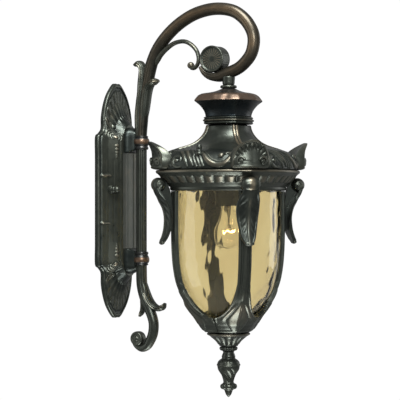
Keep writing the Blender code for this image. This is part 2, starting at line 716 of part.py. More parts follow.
def build_joints():
    """Collars over the tube's two ends, and the lugs that carry them."""
    collar = turned("collar", COLLAR_PROFILE, 12, ring=True)
    collar_room = turned("collar_room", COLLAR_ROOM, 16)
    for label, sign in ENDS:
        upside = 0 if sign > 0 else math.pi
        ring = place(f"collar_{label}", collar, "rubbed_bronze", POST_OUT)
        ring.rotation_euler.x = upside
        lug = place(f"arm_lug_{label}", lug_mesh(sign), "bronze")
        room = place(f"collar_room_{label}", collar_room, "steel", POST_OUT)
        room.rotation_euler.x = upside
        boolean(lug, room)
        start = (0, POST_OUT, -170)
        boolean(lug, hole(f"tube_room_{label}", LUG_TUBE_ROOM, start, UPWARD, 340, 16))
        start = (0, 20, sign * LUG_SCREW_HEIGHT)
        boolean(lug, hole(f"screw_room_{label}", STUD_HOLE_RADIUS, start, OUTWARD, 27.5))
        if sign > 0:
            boolean(ring, wire_hole())
            boolean(lug, wire_hole())


def build_drum():
    half = DRUM_WIDTH / 2
    side = [(0, half - 3), (20, half - 3), (22, half), (25, half), (DRUM_RADIUS, half - 1.5)]
    other = [(radius, -height) for radius, height in reversed(side)]
    drum = turned("scroll_drum", side + other, 20)
    drum = place("scroll_drum", drum, "bronze", DRUM_CENTRE[0], None, 0, DRUM_CENTRE[1])
    drum.rotation_euler.y = math.pi / 2


def build_supply_lead(arch):
    """Flexible lead from the terminal block, through the arm, to the lamp holder."""
    inside = [point for point in arch if point[1] > LEAD_LIFT]
    turn = min(inside[len(inside) // 2:], key=lambda point: abs(point[0] - LEAD_TURN))
    middle = inside[: inside.index(turn)]
    down = [(LANTERN_OUT, height) for height in LEAD_DROP]
    path = smooth_path(LEAD_START + middle + LEAD_END + down, 2)
    curve = bpy.data.curves.new("supply_lead", "CURVE")
    curve.dimensions = "3D"
    curve.bevel_depth = LEAD_RADIUS * MM
    curve.bevel_resolution = 1
    curve.use_fill_caps = True
    spline = curve.splines.new("POLY")
    spline.points.add(len(path) - 1)
    for point, (out, height) in zip(spline.points, path):
        point.co = (0, -out * MM, height * MM, 1)
    curve.materials.append(finish("rubber"))
    obj = bpy.data.objects.new("supply_lead", curve)
    bpy.context.scene.collection.objects.link(obj)


# ------------------------------------------------------------- lantern head


def on_axis(name, profile, material, segments=16, ring=False, square=False, parent=None):
    mesh = turned(name, profile, segments, ring, square)
    return place(name, mesh, material, LANTERN_OUT, parent)


def shell_mesh():
    """Fan-shaped crest for a corner of the roof, solid at the back where the roof cuts it."""
    columns = (-1, -0.5, 0, 0.5, 1)
    bm = bmesh.new()
    sheets = ([], [])
    for height, front, back, half in SHELL_ROWS:
        bends = (SHELL_FRONT_BEND, SHELL_BACK_BEND)
        for sheet, reach, bend in zip(sheets, (front, back), bends):
            line = []
            for column in columns:
                side = column * half
                x = reach - bend * side**2
                line.append(bm.verts.new(Vector((x, side, height)) * MM))
            sheet.append(line)
    for sheet in sheets:
        for low, high in zip(sheet, sheet[1:]):
            for column in range(len(columns) - 1):
                bm.faces.new((low[column], low[column + 1], high[column + 1], high[column]))
    rims = list(zip(*sheets))
    for row in (0, -1):
        outer, inner = rims[row]
        for column in range(len(columns) - 1):
            bm.faces.new((outer[column], outer[column + 1], inner[column + 1], inner[column]))
    for column in (0, -1):
        for (outer, inner), (outer_up, inner_up) in zip(rims, rims[1:]):
            bm.faces.new((outer[column], outer_up[column], inner_up[column], inner[column]))
    return mesh_from("corner_shell", bm)


def build_hanger():
    on_axis("hanger_stem", STEM_PROFILE, "bronze", 16, ring=True)
    on_axis("hanger_ring", HANGER_RING_PROFILE, "rubbed_bronze", 16, ring=True)
    on_axis("crown", CROWN_PROFILE, "bronze", 16, ring=True, square=True)
    on_axis("neck_ring", NECK_PROFILE, "bronze", 16, ring=True, square=True)
    on_axis("stem_nipple", NIPPLE_PROFILE, "steel", 12, ring=True)
    on_axis("roof_locknut", LOCKNUT_PROFILE, "steel", 6, ring=True)


def build_roof():
    outline = ROOF_OUTSIDE + ROOF_INSIDE + ROOF_WEB
    roof = on_axis("roof", outline, "bronze", 24, ring=True, square=True)
    seat_low = ROOF_SEAT_HEIGHT - ROOF_SEAT_DEPTH
    for label, sign in SIDES:
        side = sign * ROOF_STUD_SIDE
        start = (side, LANTERN_OUT, seat_low)
        seat = hole(f"roof_seat_{label}", SEAT_RADIUS, start, UPWARD, ROOF_SEAT_DEPTH)
        boolean(roof, seat, "UNION")
        start = (side, LANTERN_OUT, ROOF_SEAT_HEIGHT)
        boolean(roof, hole(f"roof_spot_{label}", SEAT_RADIUS, start, UPWARD, 20))
        start = (side, LANTERN_OUT, 70)
        boolean(roof, hole(f"roof_hole_{label}", ROOF_HOLE_RADIUS, start, UPWARD, 60))
        nut = turned("roof_cap_nut", ROOF_NUT_PROFILE, 12)
        nut_name = f"roof_cap_nut_{label}"
        height = ROOF_SEAT_HEIGHT + CLEAR
        place(nut_name, nut, "rubbed_bronze", LANTERN_OUT, None, side, height)


def build_shells():
    above = [(0, ROOF_OUTSIDE[0][1] + 1)] + moved_out(ROOF_OUTSIDE, BRACKET_CLEAR)
    room = turned("roof_clearance", above + [(0, SHELL_ROWS[0][0] - 0.4)], 24, square=True)
    room = as_cutter(place("roof_clearance", room, "steel", LANTERN_OUT))
    for shell in copies("corner_shell", shell_mesh(), "bronze", CORNERS, turn=-45):
        boolean(shell, room)


# --------------------------------------------------------------------- lamp


def build_lamp():
    on_axis("lampholder_cover", COVER_PROFILE, "bronze", 16, ring=True)
    on_axis("lampholder", HOLDER_PROFILE, "porcelain", 12)
    on_axis("bulb_cap", CAP_PROFILE, "brass", 12)
    inner = []
    for radius, height in reversed(BULB_PROFILE):
        lift = GLASS_WALL if radius < BULB_PROFILE[0][0] else 0
        inner.append((max(radius - GLASS_WALL, 0), height + lift))
    on_axis("bulb_glass", BULB_PROFILE + inner, "clear_glass", 12, ring=True)
    on_axis("bulb_filament", FILAMENT_PROFILE, "steel", 6)


# --------------------------------------------------------------------- cage


def rib_mesh():
    rows = []
    for (radius, height), half in zip(CAGE_CURVE, RIB_HALF_WIDTHS):
        rows.append((radius, height, half / radius, RIB_THICKNESS, math.pi / 4))
    return wrapped_patch("cage_rib", rows, 4)


def pane_mesh():
    rows = []
    for (radius, height), half in zip(CAGE_CURVE, RIB_HALF_WIDTHS):
        if height < CUP_TOP:
            break
        inside = radius - RIB_THICKNESS - 0.4
        quarter = math.pi / 4 - (half - GLASS_LAP) / inside
        rows.append((inside, height if rows else PANE_TOP, quarter, GLASS_THICKNESS, 0.0))
    radius = CUP_PROFILE[0][0]
    rows.append((radius + 0.6, CUP_TOP + 0.5, math.pi / 4 - 19 / radius, GLASS_THICKNESS, 0.0))
    return wrapped_patch("glass_pane", rows, 4)


def build_gallery(cage):
    gallery = on_axis("gallery", GALLERY_PROFILE, "bronze", 24, ring=True, square=True, parent=cage)
    stud = rod_mesh("gallery_stud", STUD_RADIUS, GALLERY_STUD_LENGTH)
    for label, sign in SIDES:
        side = sign * ROOF_STUD_SIDE
        start = (side, LANTERN_OUT, GALLERY_STUD_LOW - 0.5)
        boolean(gallery, hole(f"stud_way_{label}", STUD_HOLE_RADIUS, start, UPWARD, 20))
        place(f"gallery_stud_{label}", stud, "steel", LANTERN_OUT, cage, side, GALLERY_STUD_LOW)


def build_brackets(cage):
    """Scroll brackets on the cage's corners, each backed by a web and cut clear of the cage."""
    cove = moved_out(GALLERY_PROFILE[:7], BRACKET_CLEAR)
    cove_room = turned("gallery_clearance", [(0, 66)] + cove + [(0, 19)], 24, square=True)
    cove_room = as_cutter(place("gallery_clearance", cove_room, "steel", LANTERN_OUT))
    curve = moved_out(CAGE_CURVE, BRACKET_CLEAR)
    rib_room = turned("rib_clearance", [(0, 19.4)] + curve + [(0, -262)], 24, square=True)
    rib_room = as_cutter(place("rib_clearance", rib_room, "steel", LANTERN_OUT))
    webs = copies("bracket_web", web_mesh(), "bronze", CORNERS, cage, -45)
    scroll = strip("scroll_bracket", BRACKET_STATIONS, 0.4)
    brackets = copies("scroll_bracket", scroll, "bronze", CORNERS, cage, -45)
    for bracket, backing in zip(brackets, webs):
        boolean(bracket, backing, "UNION")
        boolean(bracket, cove_room)
        boolean(bracket, rib_room)


def build_cage():
    cage = bpy.data.objects.new("cage", None)
    bpy.context.scene.collection.objects.link(cage)
    cage.location = Vector((0, -LANTERN_OUT, 0)) * MM
    build_gallery(cage)
    copies("cage_rib", rib_mesh(), "bronze", CORNERS, cage, -45)
    copies("glass_pane", pane_mesh(), "amber_glass", FACES, cage, -90)
    build_brackets(cage)
    on_axis("cage_cup", CUP_PROFILE, "bronze", 16, ring=True, square=True, parent=cage)
    on_axis("cage_base", BASE_PROFILE, "bronze", 16, ring=True, parent=cage)
    on_axis("finial_stud", FINIAL_STUD_PROFILE, "steel", 12, parent=cage)
    on_axis("finial_nut", FINIAL_NUT_PROFILE, "steel", 6, ring=True, parent=cage)
    on_axis("finial", FINIAL_PROFILE, "bronze", 12, ring=True)


def web_mesh():
    bm = bmesh.new()
    sheets = []
    for side in (-BRACKET_WEB_HALF, BRACKET_WEB_HALF):
        sheets.append([bm.verts.new(Vector((x, side, z)) * MM) for x, z in BRACKET_WEB])
    skin(bm, sheets)
    for sheet in sheets:
        bm.faces.new(sheet)
    return mesh_from("bracket_web", bm)


def main():
    clear_scene()
    build_wall_plate()
    arch, arch_clearance = build_post_and_arch()
    build_branch_and_leaves(arch_clearance)
    build_tail()
    build_joints()
    build_drum()
    build_supply_lead(arch)
    build_hanger()
    build_roof()
    build_shells()
    build_lamp()
    build_cage()


main()
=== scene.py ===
"""Looks of the outdoor wall lantern: cast ornament, wavy amber glass and rubbed bronze.

Lengths are millimetres until a mesh is made, and MM turns them into metres. The wall is the
plane Y = 0 and "out" is the distance from it, which is -Y. Heights are Z from the middle of
the backplate. Cast pieces are dense sheets, turned rings and swept bars whose surface is
raised by small stamps: strokes, balls, leaves and flutes.
"""

import math

import bpy
import numpy as np
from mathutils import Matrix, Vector


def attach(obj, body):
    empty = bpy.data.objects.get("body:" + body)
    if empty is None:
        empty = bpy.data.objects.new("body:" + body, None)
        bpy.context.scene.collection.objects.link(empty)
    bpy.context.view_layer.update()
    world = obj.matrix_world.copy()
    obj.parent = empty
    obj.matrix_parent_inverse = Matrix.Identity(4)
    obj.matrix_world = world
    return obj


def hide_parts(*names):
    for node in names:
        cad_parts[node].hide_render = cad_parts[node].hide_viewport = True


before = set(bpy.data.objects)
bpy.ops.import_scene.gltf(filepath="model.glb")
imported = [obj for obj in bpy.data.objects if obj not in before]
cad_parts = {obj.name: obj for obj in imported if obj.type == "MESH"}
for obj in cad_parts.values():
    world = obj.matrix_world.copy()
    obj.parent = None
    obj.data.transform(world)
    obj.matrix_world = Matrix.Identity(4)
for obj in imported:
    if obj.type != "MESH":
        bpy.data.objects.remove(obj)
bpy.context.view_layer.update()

MM = 0.001
TAU = 2 * math.pi
LANTERN_OUT = 268.0
POST_OUT = 65.0
# Angles, in degrees, of the rings that round off the end of a bar
END_TURNS = (25, 50, 72, 86)
END_RINGS = len(END_TURNS)
# Length of a tangent's cross product with X, under which the two count as parallel
NEARLY_PARALLEL = 0.3
# Radii between which a turned shape passes from round to the bowed square
ROUND_WITHIN, SQUARE_BEYOND = 14.0, 36.0
# Middle of a bowed side over its corner radius, and length along the plan over radius
FACE_BOW = 0.90
PLAN_LENGTH = 0.945
ROOF_STUD_SIDE = 121.0
SIDES = (("left", -1), ("right", 1))
ENDS = (("upper", 1), ("lower", -1))
CORNERS = {"front_right": -45, "rear_right": 45, "rear_left": 135, "front_left": 225}
FACES = {"front": -90, "right": 0, "back": 90, "left": 180}


# ------------------------------------------------------------------ mesh tools


class Form:
    """Closed shapes gathered into one mesh; rub tells how far each point's finish is worn, and on
    some pieces it also paints a highlight or shade into the colour.
    """

    def __init__(self):
        self.points = []
        self.faces = []
        self.rubs = []
        self.count = 0

    def add(self, points, faces, rub=0.3):
        points = np.asarray(points, float).reshape(-1, 3)
        volume = 0.0
        for group in faces:
            corners = points[group]
            for second in range(1, group.shape[1] - 1):
                cross = np.cross(corners[:, second], corners[:, second + 1])
                volume += np.einsum("ij,ij->", corners[:, 0], cross)
        for group in faces:
            group = group if volume > 0 else group[:, ::-1]
            self.faces.append(group + self.count)
        self.points.append(points)
        self.rubs.append(np.broadcast_to(np.asarray(rub, float).reshape(-1), len(points)))
        self.count += len(points)

    def mesh(self, name):
        mesh = bpy.data.meshes.new(name)
        points = np.concatenate(self.points) * MM
        mesh.vertices.add(len(points))
        mesh.vertices.foreach_set("co", points.astype(np.float32).ravel())
        sizes = np.concatenate([np.full(len(g), g.shape[1]) for g in self.faces])
        loops = np.concatenate([g.ravel() for g in self.faces])
        mesh.loops.add(len(loops))
        mesh.loops.foreach_set("vertex_index", loops.astype(np.int32))
        mesh.polygons.add(len(sizes))
        starts = np.concatenate([[0], np.cumsum(sizes)[:-1]])
        mesh.polygons.foreach_set("loop_start", starts.astype(np.int32))
        mesh.update(calc_edges=True)
        mesh.validate()
        rub = mesh.attributes.new("rub", "FLOAT", "POINT")
        rub.data.foreach_set("value", np.concatenate(self.rubs).astype(np.float32))
        return mesh


def grid(rows, cols, wrap_rows=False, wrap_cols=False):
    index = np.arange(rows * cols).reshape(rows, cols)
    if wrap_cols:
        index = np.concatenate([index, index[:, :1]], axis=1)
    if wrap_rows:
        index = np.concatenate([index, index[:1]], axis=0)
    quads = [index[:-1, :-1], index[:-1, 1:], index[1:, 1:], index[1:, :-1]]
    return np.stack(quads, -1).reshape(-1, 4)


def fan(centre, ring, forward):
    after = np.roll(ring, -1)
    middle = np.full(len(ring), centre)
    order = [middle, ring, after] if forward else [middle, after, ring]
    return np.stack(order, -1)


def add_capped(form, rings, rub=0.3, ends=None, end_rubs=None):
    """A bar through rings of points, closed by a fan about a point at each end."""
    count, cols = rings.shape[:2]
    first = np.arange(cols)
    faces = [
        grid(count, cols, wrap_cols=True),
        fan(count * cols, first, False),
        fan(count * cols + 1, first + (count - 1) * cols, True),
    ]
    ends = [rings[0].mean(0), rings[-1].mean(0)] if ends is None else ends
    rubs = np.broadcast_to(np.asarray(rub, float), (count, cols)).ravel()
    end_rubs = rubs[[0, -1]] if end_rubs is None else end_rubs
    form.add(np.concatenate([rings.reshape(-1, 3), ends]), faces, np.concatenate([rubs, end_rubs]))


def add_sheet(form, front, back, rub=0.3):
    """A closed slab between two grids of points of the same shape."""
    rows, cols = front.shape[:2]
    loop = np.concatenate([front, back[:, ::-1]], axis=1)
    faces = [grid(rows, 2 * cols, wrap_cols=True)]
    near = np.arange(cols - 1)
    for row in (0, rows - 1):
        first = row * 2 * cols + near
        second = row * 2 * cols + 2 * cols - 1 - near
        quad = np.stack([first, first + 1, second - 1, second], -1)
        faces.append(quad if row else quad[:, ::-1])
    rub = np.broadcast_to(np.asarray(rub, float), (rows, cols))
    form.add(loop, faces, np.concatenate([rub, rub[:, ::-1]], axis=1))


def spline(points, spacing):
    """Evenly spaced points on a Catmull-Rom curve, for rows of any width."""
    points = np.asarray(points, float)
    ends = np.concatenate([points[:1], points, points[-1:]])
    t = np.linspace(0, 1, 16, endpoint=False)[:, None]
    path = []
    for a, b, c, d in zip(ends, ends[1:], ends[2:], ends[3:]):
        curve = 2 * b + (c - a) * t + (2 * a - 5 * b + 4 * c - d) * t**2
        path.append(0.5 * (curve + (3 * b - a - 3 * c + d) * t**3))
    path = np.concatenate([*path, points[-1:]])
    return spaced(path, spacing)


def spaced(path, spacing):
    steps = np.linalg.norm(np.diff(path[:, :2], axis=0), axis=1)
    along = np.concatenate([[0], np.cumsum(steps)])
    count = max(int(round(along[-1] / spacing)), 2)
    at = np.linspace(0, along[-1], count + 1)
    return np.stack([np.interp(at, along, column) for column in path.T], -1)


def softened(profile, closed, rounds=2):
    """Corner cutting, which rounds a profile's edges; a point given twice stays sharp."""
    points = np.asarray(profile, float)
    for _ in range(rounds):
        after = np.roll(points, -1, axis=0) if closed else points[1:]
        before = points if closed else points[:-1]
        cut = np.stack([before * 0.75 + after * 0.25, before * 0.25 + after * 0.75], 1)
        cut = cut.reshape(-1, points.shape[1])
        points = cut if closed else np.concatenate([points[:1], cut, points[-1:]])
    return points


def filled_in(points, closed, step):
    """Adds points so that no stretch is longer than step."""
    after = np.roll(points, -1, axis=0) if closed else points[1:]
    before = points if closed else points[:-1]
    found = []
    for a, b in zip(before, after):
        pieces = max(int(math.ceil(np.linalg.norm(b - a) / step)), 1)
        found.append(a + (b - a) * (np.arange(pieces) / pieces)[:, None])
    if not closed:
        found.append(points[-1:])
    return np.concatenate(found)


def face_turn(angle):
    """Angle from the middle of the nearest face."""
    return (angle + math.pi / 4) % (math.pi / 2) - math.pi / 4


def plan_scale(angle):
    """Radius of the bowed square at an angle, over its corner radius."""
    bow = (1 - FACE_BOW**2) / (math.sqrt(2) - 2 * FACE_BOW)
    arc = FACE_BOW - bow
    turn = face_turn(angle)
    return bow * np.cos(turn) + np.sqrt(arc**2 - (bow * np.sin(turn)) ** 2)


def lathe(form, profile, at=(0, LANTERN_OUT, 0), relief=None, worn=None, rub=0.3, segs=96,
          square=False, axis="z", step=2.0, closed=True, rounds=2, sides=0):
    """Turned piece about an axis through at, given as (side, out, height).

    relief(angle, radius, height) gives how far each point is raised along the profile's
    normal, and worn(angle, radius, height, raised) how far its finish is rubbed away.
    """
    points = softened(profile, closed, rounds) if rounds else np.asarray(profile, float)
    points = filled_in(points, closed, step)
    if closed:
        tangent = np.roll(points, -1, axis=0) - np.roll(points, 1, axis=0)
    else:
        tangent = np.gradient(points, axis=0)
    tangent /= np.maximum(np.linalg.norm(tangent, axis=1, keepdims=True), 1e-9)
    after = np.roll(points, -1, axis=0)
    area = np.sum(points[:, 0] * after[:, 1] - after[:, 0] * points[:, 1])
    normal = np.stack([tangent[:, 1], -tangent[:, 0]], -1) * (1 if area > 0 else -1)
    angle = np.arange(segs) * TAU / segs
    theta = np.broadcast_to(angle, (len(points), segs))
    radius = np.repeat(points[:, :1], segs, axis=1)
    height = np.repeat(points[:, 1:2], segs, axis=1)
    raised = relief(theta, radius, height) if relief else np.zeros_like(radius)
    wear_and_light = worn(theta, radius, height, raised) if worn else np.full_like(radius, rub)
    radius = np.maximum(radius + raised * normal[:, :1], 0)
    height = height + raised * normal[:, 1:2]
    if square:
        share = np.clip((radius - ROUND_WITHIN) / (SQUARE_BEYOND - ROUND_WITHIN), 0, 1)
        radius = radius * (1 + share * (plan_scale(theta) - 1))
    if sides:
        half = math.pi / sides
        radius = radius / np.cos((theta + half) % (2 * half) - half) * math.cos(half)
    x, y, z = radius * np.cos(theta), radius * np.sin(theta), height
    if axis == "y":
        x, y, z = x, -z, y
    elif axis == "x":
        x, y, z = z, y, -x
    side, out, up = at
    verts = np.stack([x + side, y - out, z + up], -1)
    if closed:
        form.add(verts, [grid(*verts.shape[:2], True, True)], wear_and_light)
    else:
        ends = [verts[0].mean(0), verts[-1].mean(0)]
        add_capped(form, verts[1:-1], wear_and_light[1:-1], ends, wear_and_light[[0, -1], 0])


def sweep(form, path, radii, relief=None, rub=0.3, sides=28, flat=1.0, blunt=(True, True)):
    """Bar along 3D points. flat widens it across its own plane; blunt rounds an end."""
    path = np.asarray(path, float)
    radii = np.broadcast_to(np.asarray(radii, float), len(path)).copy()
    tangent = np.gradient(path, axis=0)
    tangent /= np.linalg.norm(tangent, axis=1, keepdims=True)
    if blunt[0]:
        path, radii, tangent = with_end(path, radii, tangent, 0)
    if blunt[1]:
        path, radii, tangent = with_end(path, radii, tangent, -1)
    normal = np.cross(tangent[0], (1.0, 0.0, 0.0))
    if np.linalg.norm(normal) < NEARLY_PARALLEL:
        normal = np.cross(tangent[0], (0.0, 1.0, 0.0))
    frames = []
    for direction in tangent:
        normal = normal - direction * np.dot(normal, direction)
        normal /= np.linalg.norm(normal)
        frames.append(normal)
    frames = np.array(frames)
    across = np.cross(tangent, frames)
    angle = np.arange(sides) * TAU / sides
    steps = np.linalg.norm(np.diff(path, axis=0), axis=1)
    along = np.concatenate([[0], np.cumsum(steps)])
    raised = relief(angle[None, :], along[:, None]) if relief else 0.0
    reach = radii[:, None] * (1 + raised)
    ring = frames[:, None] * (reach * np.cos(angle))[..., None]
    flat = np.broadcast_to(np.asarray(flat, float), len(radii))[:, None]
    ring = ring + across[:, None] * (reach * np.sin(angle) * flat)[..., None]
    verts = path[:, None] + ring
    add_capped(form, verts, rub, path[[0, -1]])


def with_end(path, radii, tangent, end):
    """Adds rings that close an end of a bar as half a ball."""
    turn = np.radians(END_TURNS)
    way = -1 if end == 0 else 1
    extra = path[end] + way * tangent[end] * (radii[end] * np.sin(turn) * 0.6)[:, None]
    shrunk = radii[end] * np.cos(turn)
    same = np.repeat(tangent[end][None], len(turn), axis=0)
    if end == 0:
        extra, shrunk = extra[::-1], shrunk[::-1]
        joined = (extra, path), (shrunk, radii), (same, tangent)
    else:
        joined = (path, extra), (radii, shrunk), (tangent, same)
    return [np.concatenate(pair) for pair in joined]


def in_plane(path, side=0.0):
    """(out, height) points as 3D points in the plane X = side."""
    path = np.asarray(path, float)
    return np.stack([np.full(len(path), side), -path[:, 0], path[:, 1]], -1)


def turned_to(points, degrees):
    """Points drawn on +X about the origin, turned and moved to the lantern's axis."""
    angle = math.radians(degrees)
    x = points[..., 0] * math.cos(angle) - points[..., 1] * math.sin(angle)
    y = points[..., 0] * math.sin(angle) + points[..., 1] * math.cos(angle)
    return np.stack([x, y - LANTERN_OUT, points[..., 2]], -1)


def piece(form, name, body, material, slot, replaced, sharp=55):
    """Makes the form an object that rides a body and stands for one CAD node."""
    mesh = form.mesh(name)
    mesh.materials.append(material)
    mesh.shade_smooth()
    mesh.set_sharp_from_angle(angle=math.radians(sharp))
    obj = bpy.data.objects.new(name, mesh)
    bpy.context.scene.collection.objects.link(obj)
    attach(obj, body)
    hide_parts(replaced)


def built_piece(label, build, *how, sharp=55):
    """A piece that a function adds to a form; label is what piece() takes after the form."""
    form = Form()
    build(form, *how)
    piece(form, *label, sharp)


def turned_piece(label, profile, sharp=55, **how):
    """A piece that is one turned shape."""
    form = Form()
    lathe(form, profile, **how)
    piece(form, *label, sharp)


def swept_piece(label, path, *how):
    """A piece that is one bar along (out, height) points."""
    built_piece(label, sweep, in_plane(path), *how)


def worn_by(base, lifted=0.0, rim=0.0, low=0.0, high=1.0):
    """Wear that grows with the relief, and by rim from one radius to another; on the bracket's
    barrel the rim band is also a painted highlight.
    """
    def worn(angle, radius, height, raised):
        return base + lifted * raised + rim * step_up(radius, low, high)
    return worn


# --------------------------------------------------------------- relief stamps


def ridge(distance, half):
    """Rounded ridge: 1 on its line and 0 beyond its half width."""
    return np.sqrt(np.clip(1 - (distance / half) ** 2, 0, None))


def step_up(value, low, high):
    share = np.clip((value - low) / (high - low), 0, 1)
    return share * share * (3 - 2 * share)


def between(value, low, high, soft):
    return step_up(value, low - soft, low + soft) * (1 - step_up(value, high - soft, high + soft))


def stroke(x, y, points, widths):
    """Height of a half-round bar that runs through the points and tapers with its widths."""
    widths = np.interp(np.linspace(0, 1, len(points)), np.linspace(0, 1, len(widths)), widths)
    best = np.zeros(np.broadcast(x, y).shape)
    for (ax, ay), (bx, by), first, second in zip(points, points[1:], widths, widths[1:]):
        dx, dy = bx - ax, by - ay
        share = np.clip(((x - ax) * dx + (y - ay) * dy) / (dx * dx + dy * dy + 1e-9), 0, 1)
        gap = np.hypot(x - ax - share * dx, y - ay - share * dy)
        half = first + (second - first) * share
        best = np.maximum(best, half * ridge(gap, half))
    return best


def polar(centre, reach, radians):
    """Points at angles about a centre."""
    return np.stack([centre[0] + reach * np.cos(radians), centre[1] + reach * np.sin(radians)], -1)


def volute(centre, radius, turns, start, hand):
    """Points of a spiral that winds in to its centre; start is in degrees."""
    share = np.linspace(0, 1, int(14 * turns) + 6)
    turn = math.radians(start) + hand * turns * TAU * share
    return polar(centre, radius * (1 - 0.86 * share), turn)


def ball(x, y, centre, radius):
    return radius * ridge(np.hypot(x - centre[0], y - centre[1]), radius)


def leaf(x, y, base, tip, half):
    """Height share of a lobed leaf with a middle groove and slanting veins."""
    base, tip, lobes = np.asarray(base, float), np.asarray(tip, float), 4
    length = np.linalg.norm(tip - base)
    way = (tip - base) / length
    along = ((x - base[0]) * way[0] + (y - base[1]) * way[1]) / length
    across = -(x - base[0]) * way[1] + (y - base[1]) * way[0]
    inside = (along > 0) & (along < 1)
    share = np.clip(along, 0, 1)
    width = half * np.sin(math.pi * share**0.7) ** 0.8
    width = width * (0.86 + 0.14 * np.cos(TAU * lobes * share)) + 1e-6
    body = ridge(across, width)
    veins = 0.16 * np.cos(TAU * lobes * (share - 0.35 * np.abs(across) / half) + math.pi)
    groove = 0.35 * np.exp(-((across / (0.13 * half)) ** 2))
    return np.where(inside, np.clip(body * (0.8 + veins - groove), 0, None), 0.0)


# -------------------------------------------------------------------- finishes


def nodes_for(name):
    material = bpy.data.materials.new(name)
    material.use_nodes = True
    tree = material.node_tree
    shader = tree.nodes["Principled BSDF"]
    coordinates = tree.nodes.new("ShaderNodeTexCoord")
    return material, tree, shader, coordinates.outputs["Object"]


def noise(tree, where, scale, detail, rough, stretch=None):
    if stretch:
        mapping = tree.nodes.new("ShaderNodeMapping")
        mapping.inputs["Scale"].default_value = stretch
        tree.links.new(where, mapping.inputs["Vector"])
        where = mapping.outputs["Vector"]
    texture = tree.nodes.new("ShaderNodeTexNoise")
    set_inputs(texture, {"Scale": scale, "Detail": detail, "Roughness": rough})
    tree.links.new(where, texture.inputs["Vector"])
    return texture.outputs["Fac"]


def math_node(tree, operation, first, second, third=None, clamp=False):
    node = tree.nodes.new("ShaderNodeMath")
    node.operation = operation
    node.use_clamp = clamp
    for socket, value in zip(node.inputs, (first, second, third)):
        if isinstance(value, (int, float)):
            socket.default_value = value
        elif value is not None:
            tree.links.new(value, socket)
    return node.outputs[0]


def paint(tree, shader, socket, value, stops):
    """Drives a shader input by a texture, through (place, colour or grey) stops."""
    node = tree.nodes.new("ShaderNodeValToRGB")
    elements = node.color_ramp.elements
    while len(elements) < len(stops):
        elements.new(0.5)
    for element, (position, colour) in zip(elements, stops):
        element.position = position
        element.color = (*np.broadcast_to(colour, 3), 1)
    tree.links.new(value, node.inputs["Fac"])
    tree.links.new(node.outputs["Color"], shader.inputs[socket])


def set_inputs(node, values):
    for name, value in values.items():
        node.inputs[name].default_value = value


def rub_of(tree):
    """How far the finish is rubbed away, which the mesh carries point by point; on some pieces it
    also carries painted highlight and shade.
    """
    attribute = tree.nodes.new("ShaderNodeAttribute")
    attribute.attribute_name = "rub"
    return attribute.outputs["Fac"]


def bump(tree, shader, heights, strength, distance):
    node = tree.nodes.new("ShaderNodeBump")
    set_inputs(node, {"Strength": strength, "Distance": distance})
    tree.links.new(heights, node.inputs["Height"])
    tree.links.new(node.outputs["Normal"], shader.inputs["Normal"])


def bronze(name, dark, middle, high, rough=(0.27, 0.38)):
    """Oil-rubbed bronze: dark in the hollows, and worn to a warmer tone where it stands up; painted
    highlights and painted shade from a piece's rub show through the same tones.
    """
    material, tree, shader, where = nodes_for(name)
    rub = rub_of(tree)
    patches = noise(tree, where, 34.0, 3.0, 0.5)
    clouds = noise(tree, where, 110.0, 4.0, 0.5)
    grain = noise(tree, where, 1100.0, 2.0, 0.5)
    spread = math_node(tree, "MULTIPLY_ADD", patches, 0.30, -0.15)
    spread = math_node(tree, "MULTIPLY_ADD", clouds, 0.16, spread)
    wear_and_light = math_node(tree, "ADD", rub, math_node(tree, "ADD", spread, -0.08))
    stops = [(0.0, dark), (0.38, middle), (0.8, high), (1.0, tuple(c * 1.25 for c in high))]
    paint(tree, shader, "Base Color", wear_and_light, stops)
    gloss = math_node(tree, "MULTIPLY_ADD", grain, 0.12, math_node(tree, "MULTIPLY", clouds, 0.88))
    paint(tree, shader, "Roughness", gloss, [(0.3, rough[0]), (0.75, rough[1])])
    set_inputs(shader, {"Metallic": 0.82, "Specular IOR Level": 0.45})
    height = math_node(tree, "MULTIPLY_ADD", patches, 0.5, math_node(tree, "MULTIPLY", grain, 0.10))
    bump(tree, shader, height, 0.05, 0.0008)
    return material


GLASS = {"Transmission Weight": 1.0, "IOR": 1.45}


def amber_glass():
    """Hand-rolled amber glass, which bends what is seen through it and carries faint seeds."""
    material, tree, shader, where = nodes_for("amber_water_glass")
    clouds = noise(tree, where, 14.0, 3.0, 0.5, (1.0, 1.0, 0.5))
    tints = [(0.3, (0.74, 0.645, 0.42)), (0.7, (0.81, 0.735, 0.50))]
    paint(tree, shader, "Base Color", clouds, tints)
    ripple = noise(tree, where, 55.0, 2.0, 0.5, (1.0, 1.0, 0.55))
    fine = noise(tree, where, 420.0, 3.0, 0.5)
    paint(tree, shader, "Roughness", fine, [(0.35, 0.02), (0.8, 0.10)])
    set_inputs(shader, GLASS)
    height = math_node(tree, "MULTIPLY_ADD", fine, 0.04, ripple)
    bump(tree, shader, height, 0.10, 0.003)
    return material


def clear_glass():
    """The bulb's thin glass, with a faint film on it."""
    material, tree, shader, where = nodes_for("lamp_glass")
    film = noise(tree, where, 90.0, 3.0, 0.5)
    paint(tree, shader, "Base Color", film, [(0.3, (0.97, 0.96, 0.93)), (0.7, (1.0, 0.99, 0.97))])
    paint(tree, shader, "Roughness", film, [(0.3, 0.0), (0.8, 0.04)])
    set_inputs(shader, GLASS)
    return material


FILAMENT_GLOW = 16.0


def warm_filament():
    """Lead wires and mount in grey metal, with the coil itself, where rub is 1, glowing."""
    material = plated("lamp_filament", (0.42, 0.42, 0.41), 0.3)
    tree = material.node_tree
    shader = tree.nodes["Principled BSDF"]
    shader.inputs["Emission Color"].default_value = (1.0, 0.62, 0.30, 1)
    glow = math_node(tree, "MULTIPLY", rub_of(tree), FILAMENT_GLOW)
    tree.links.new(glow, shader.inputs["Emission Strength"])
    return material


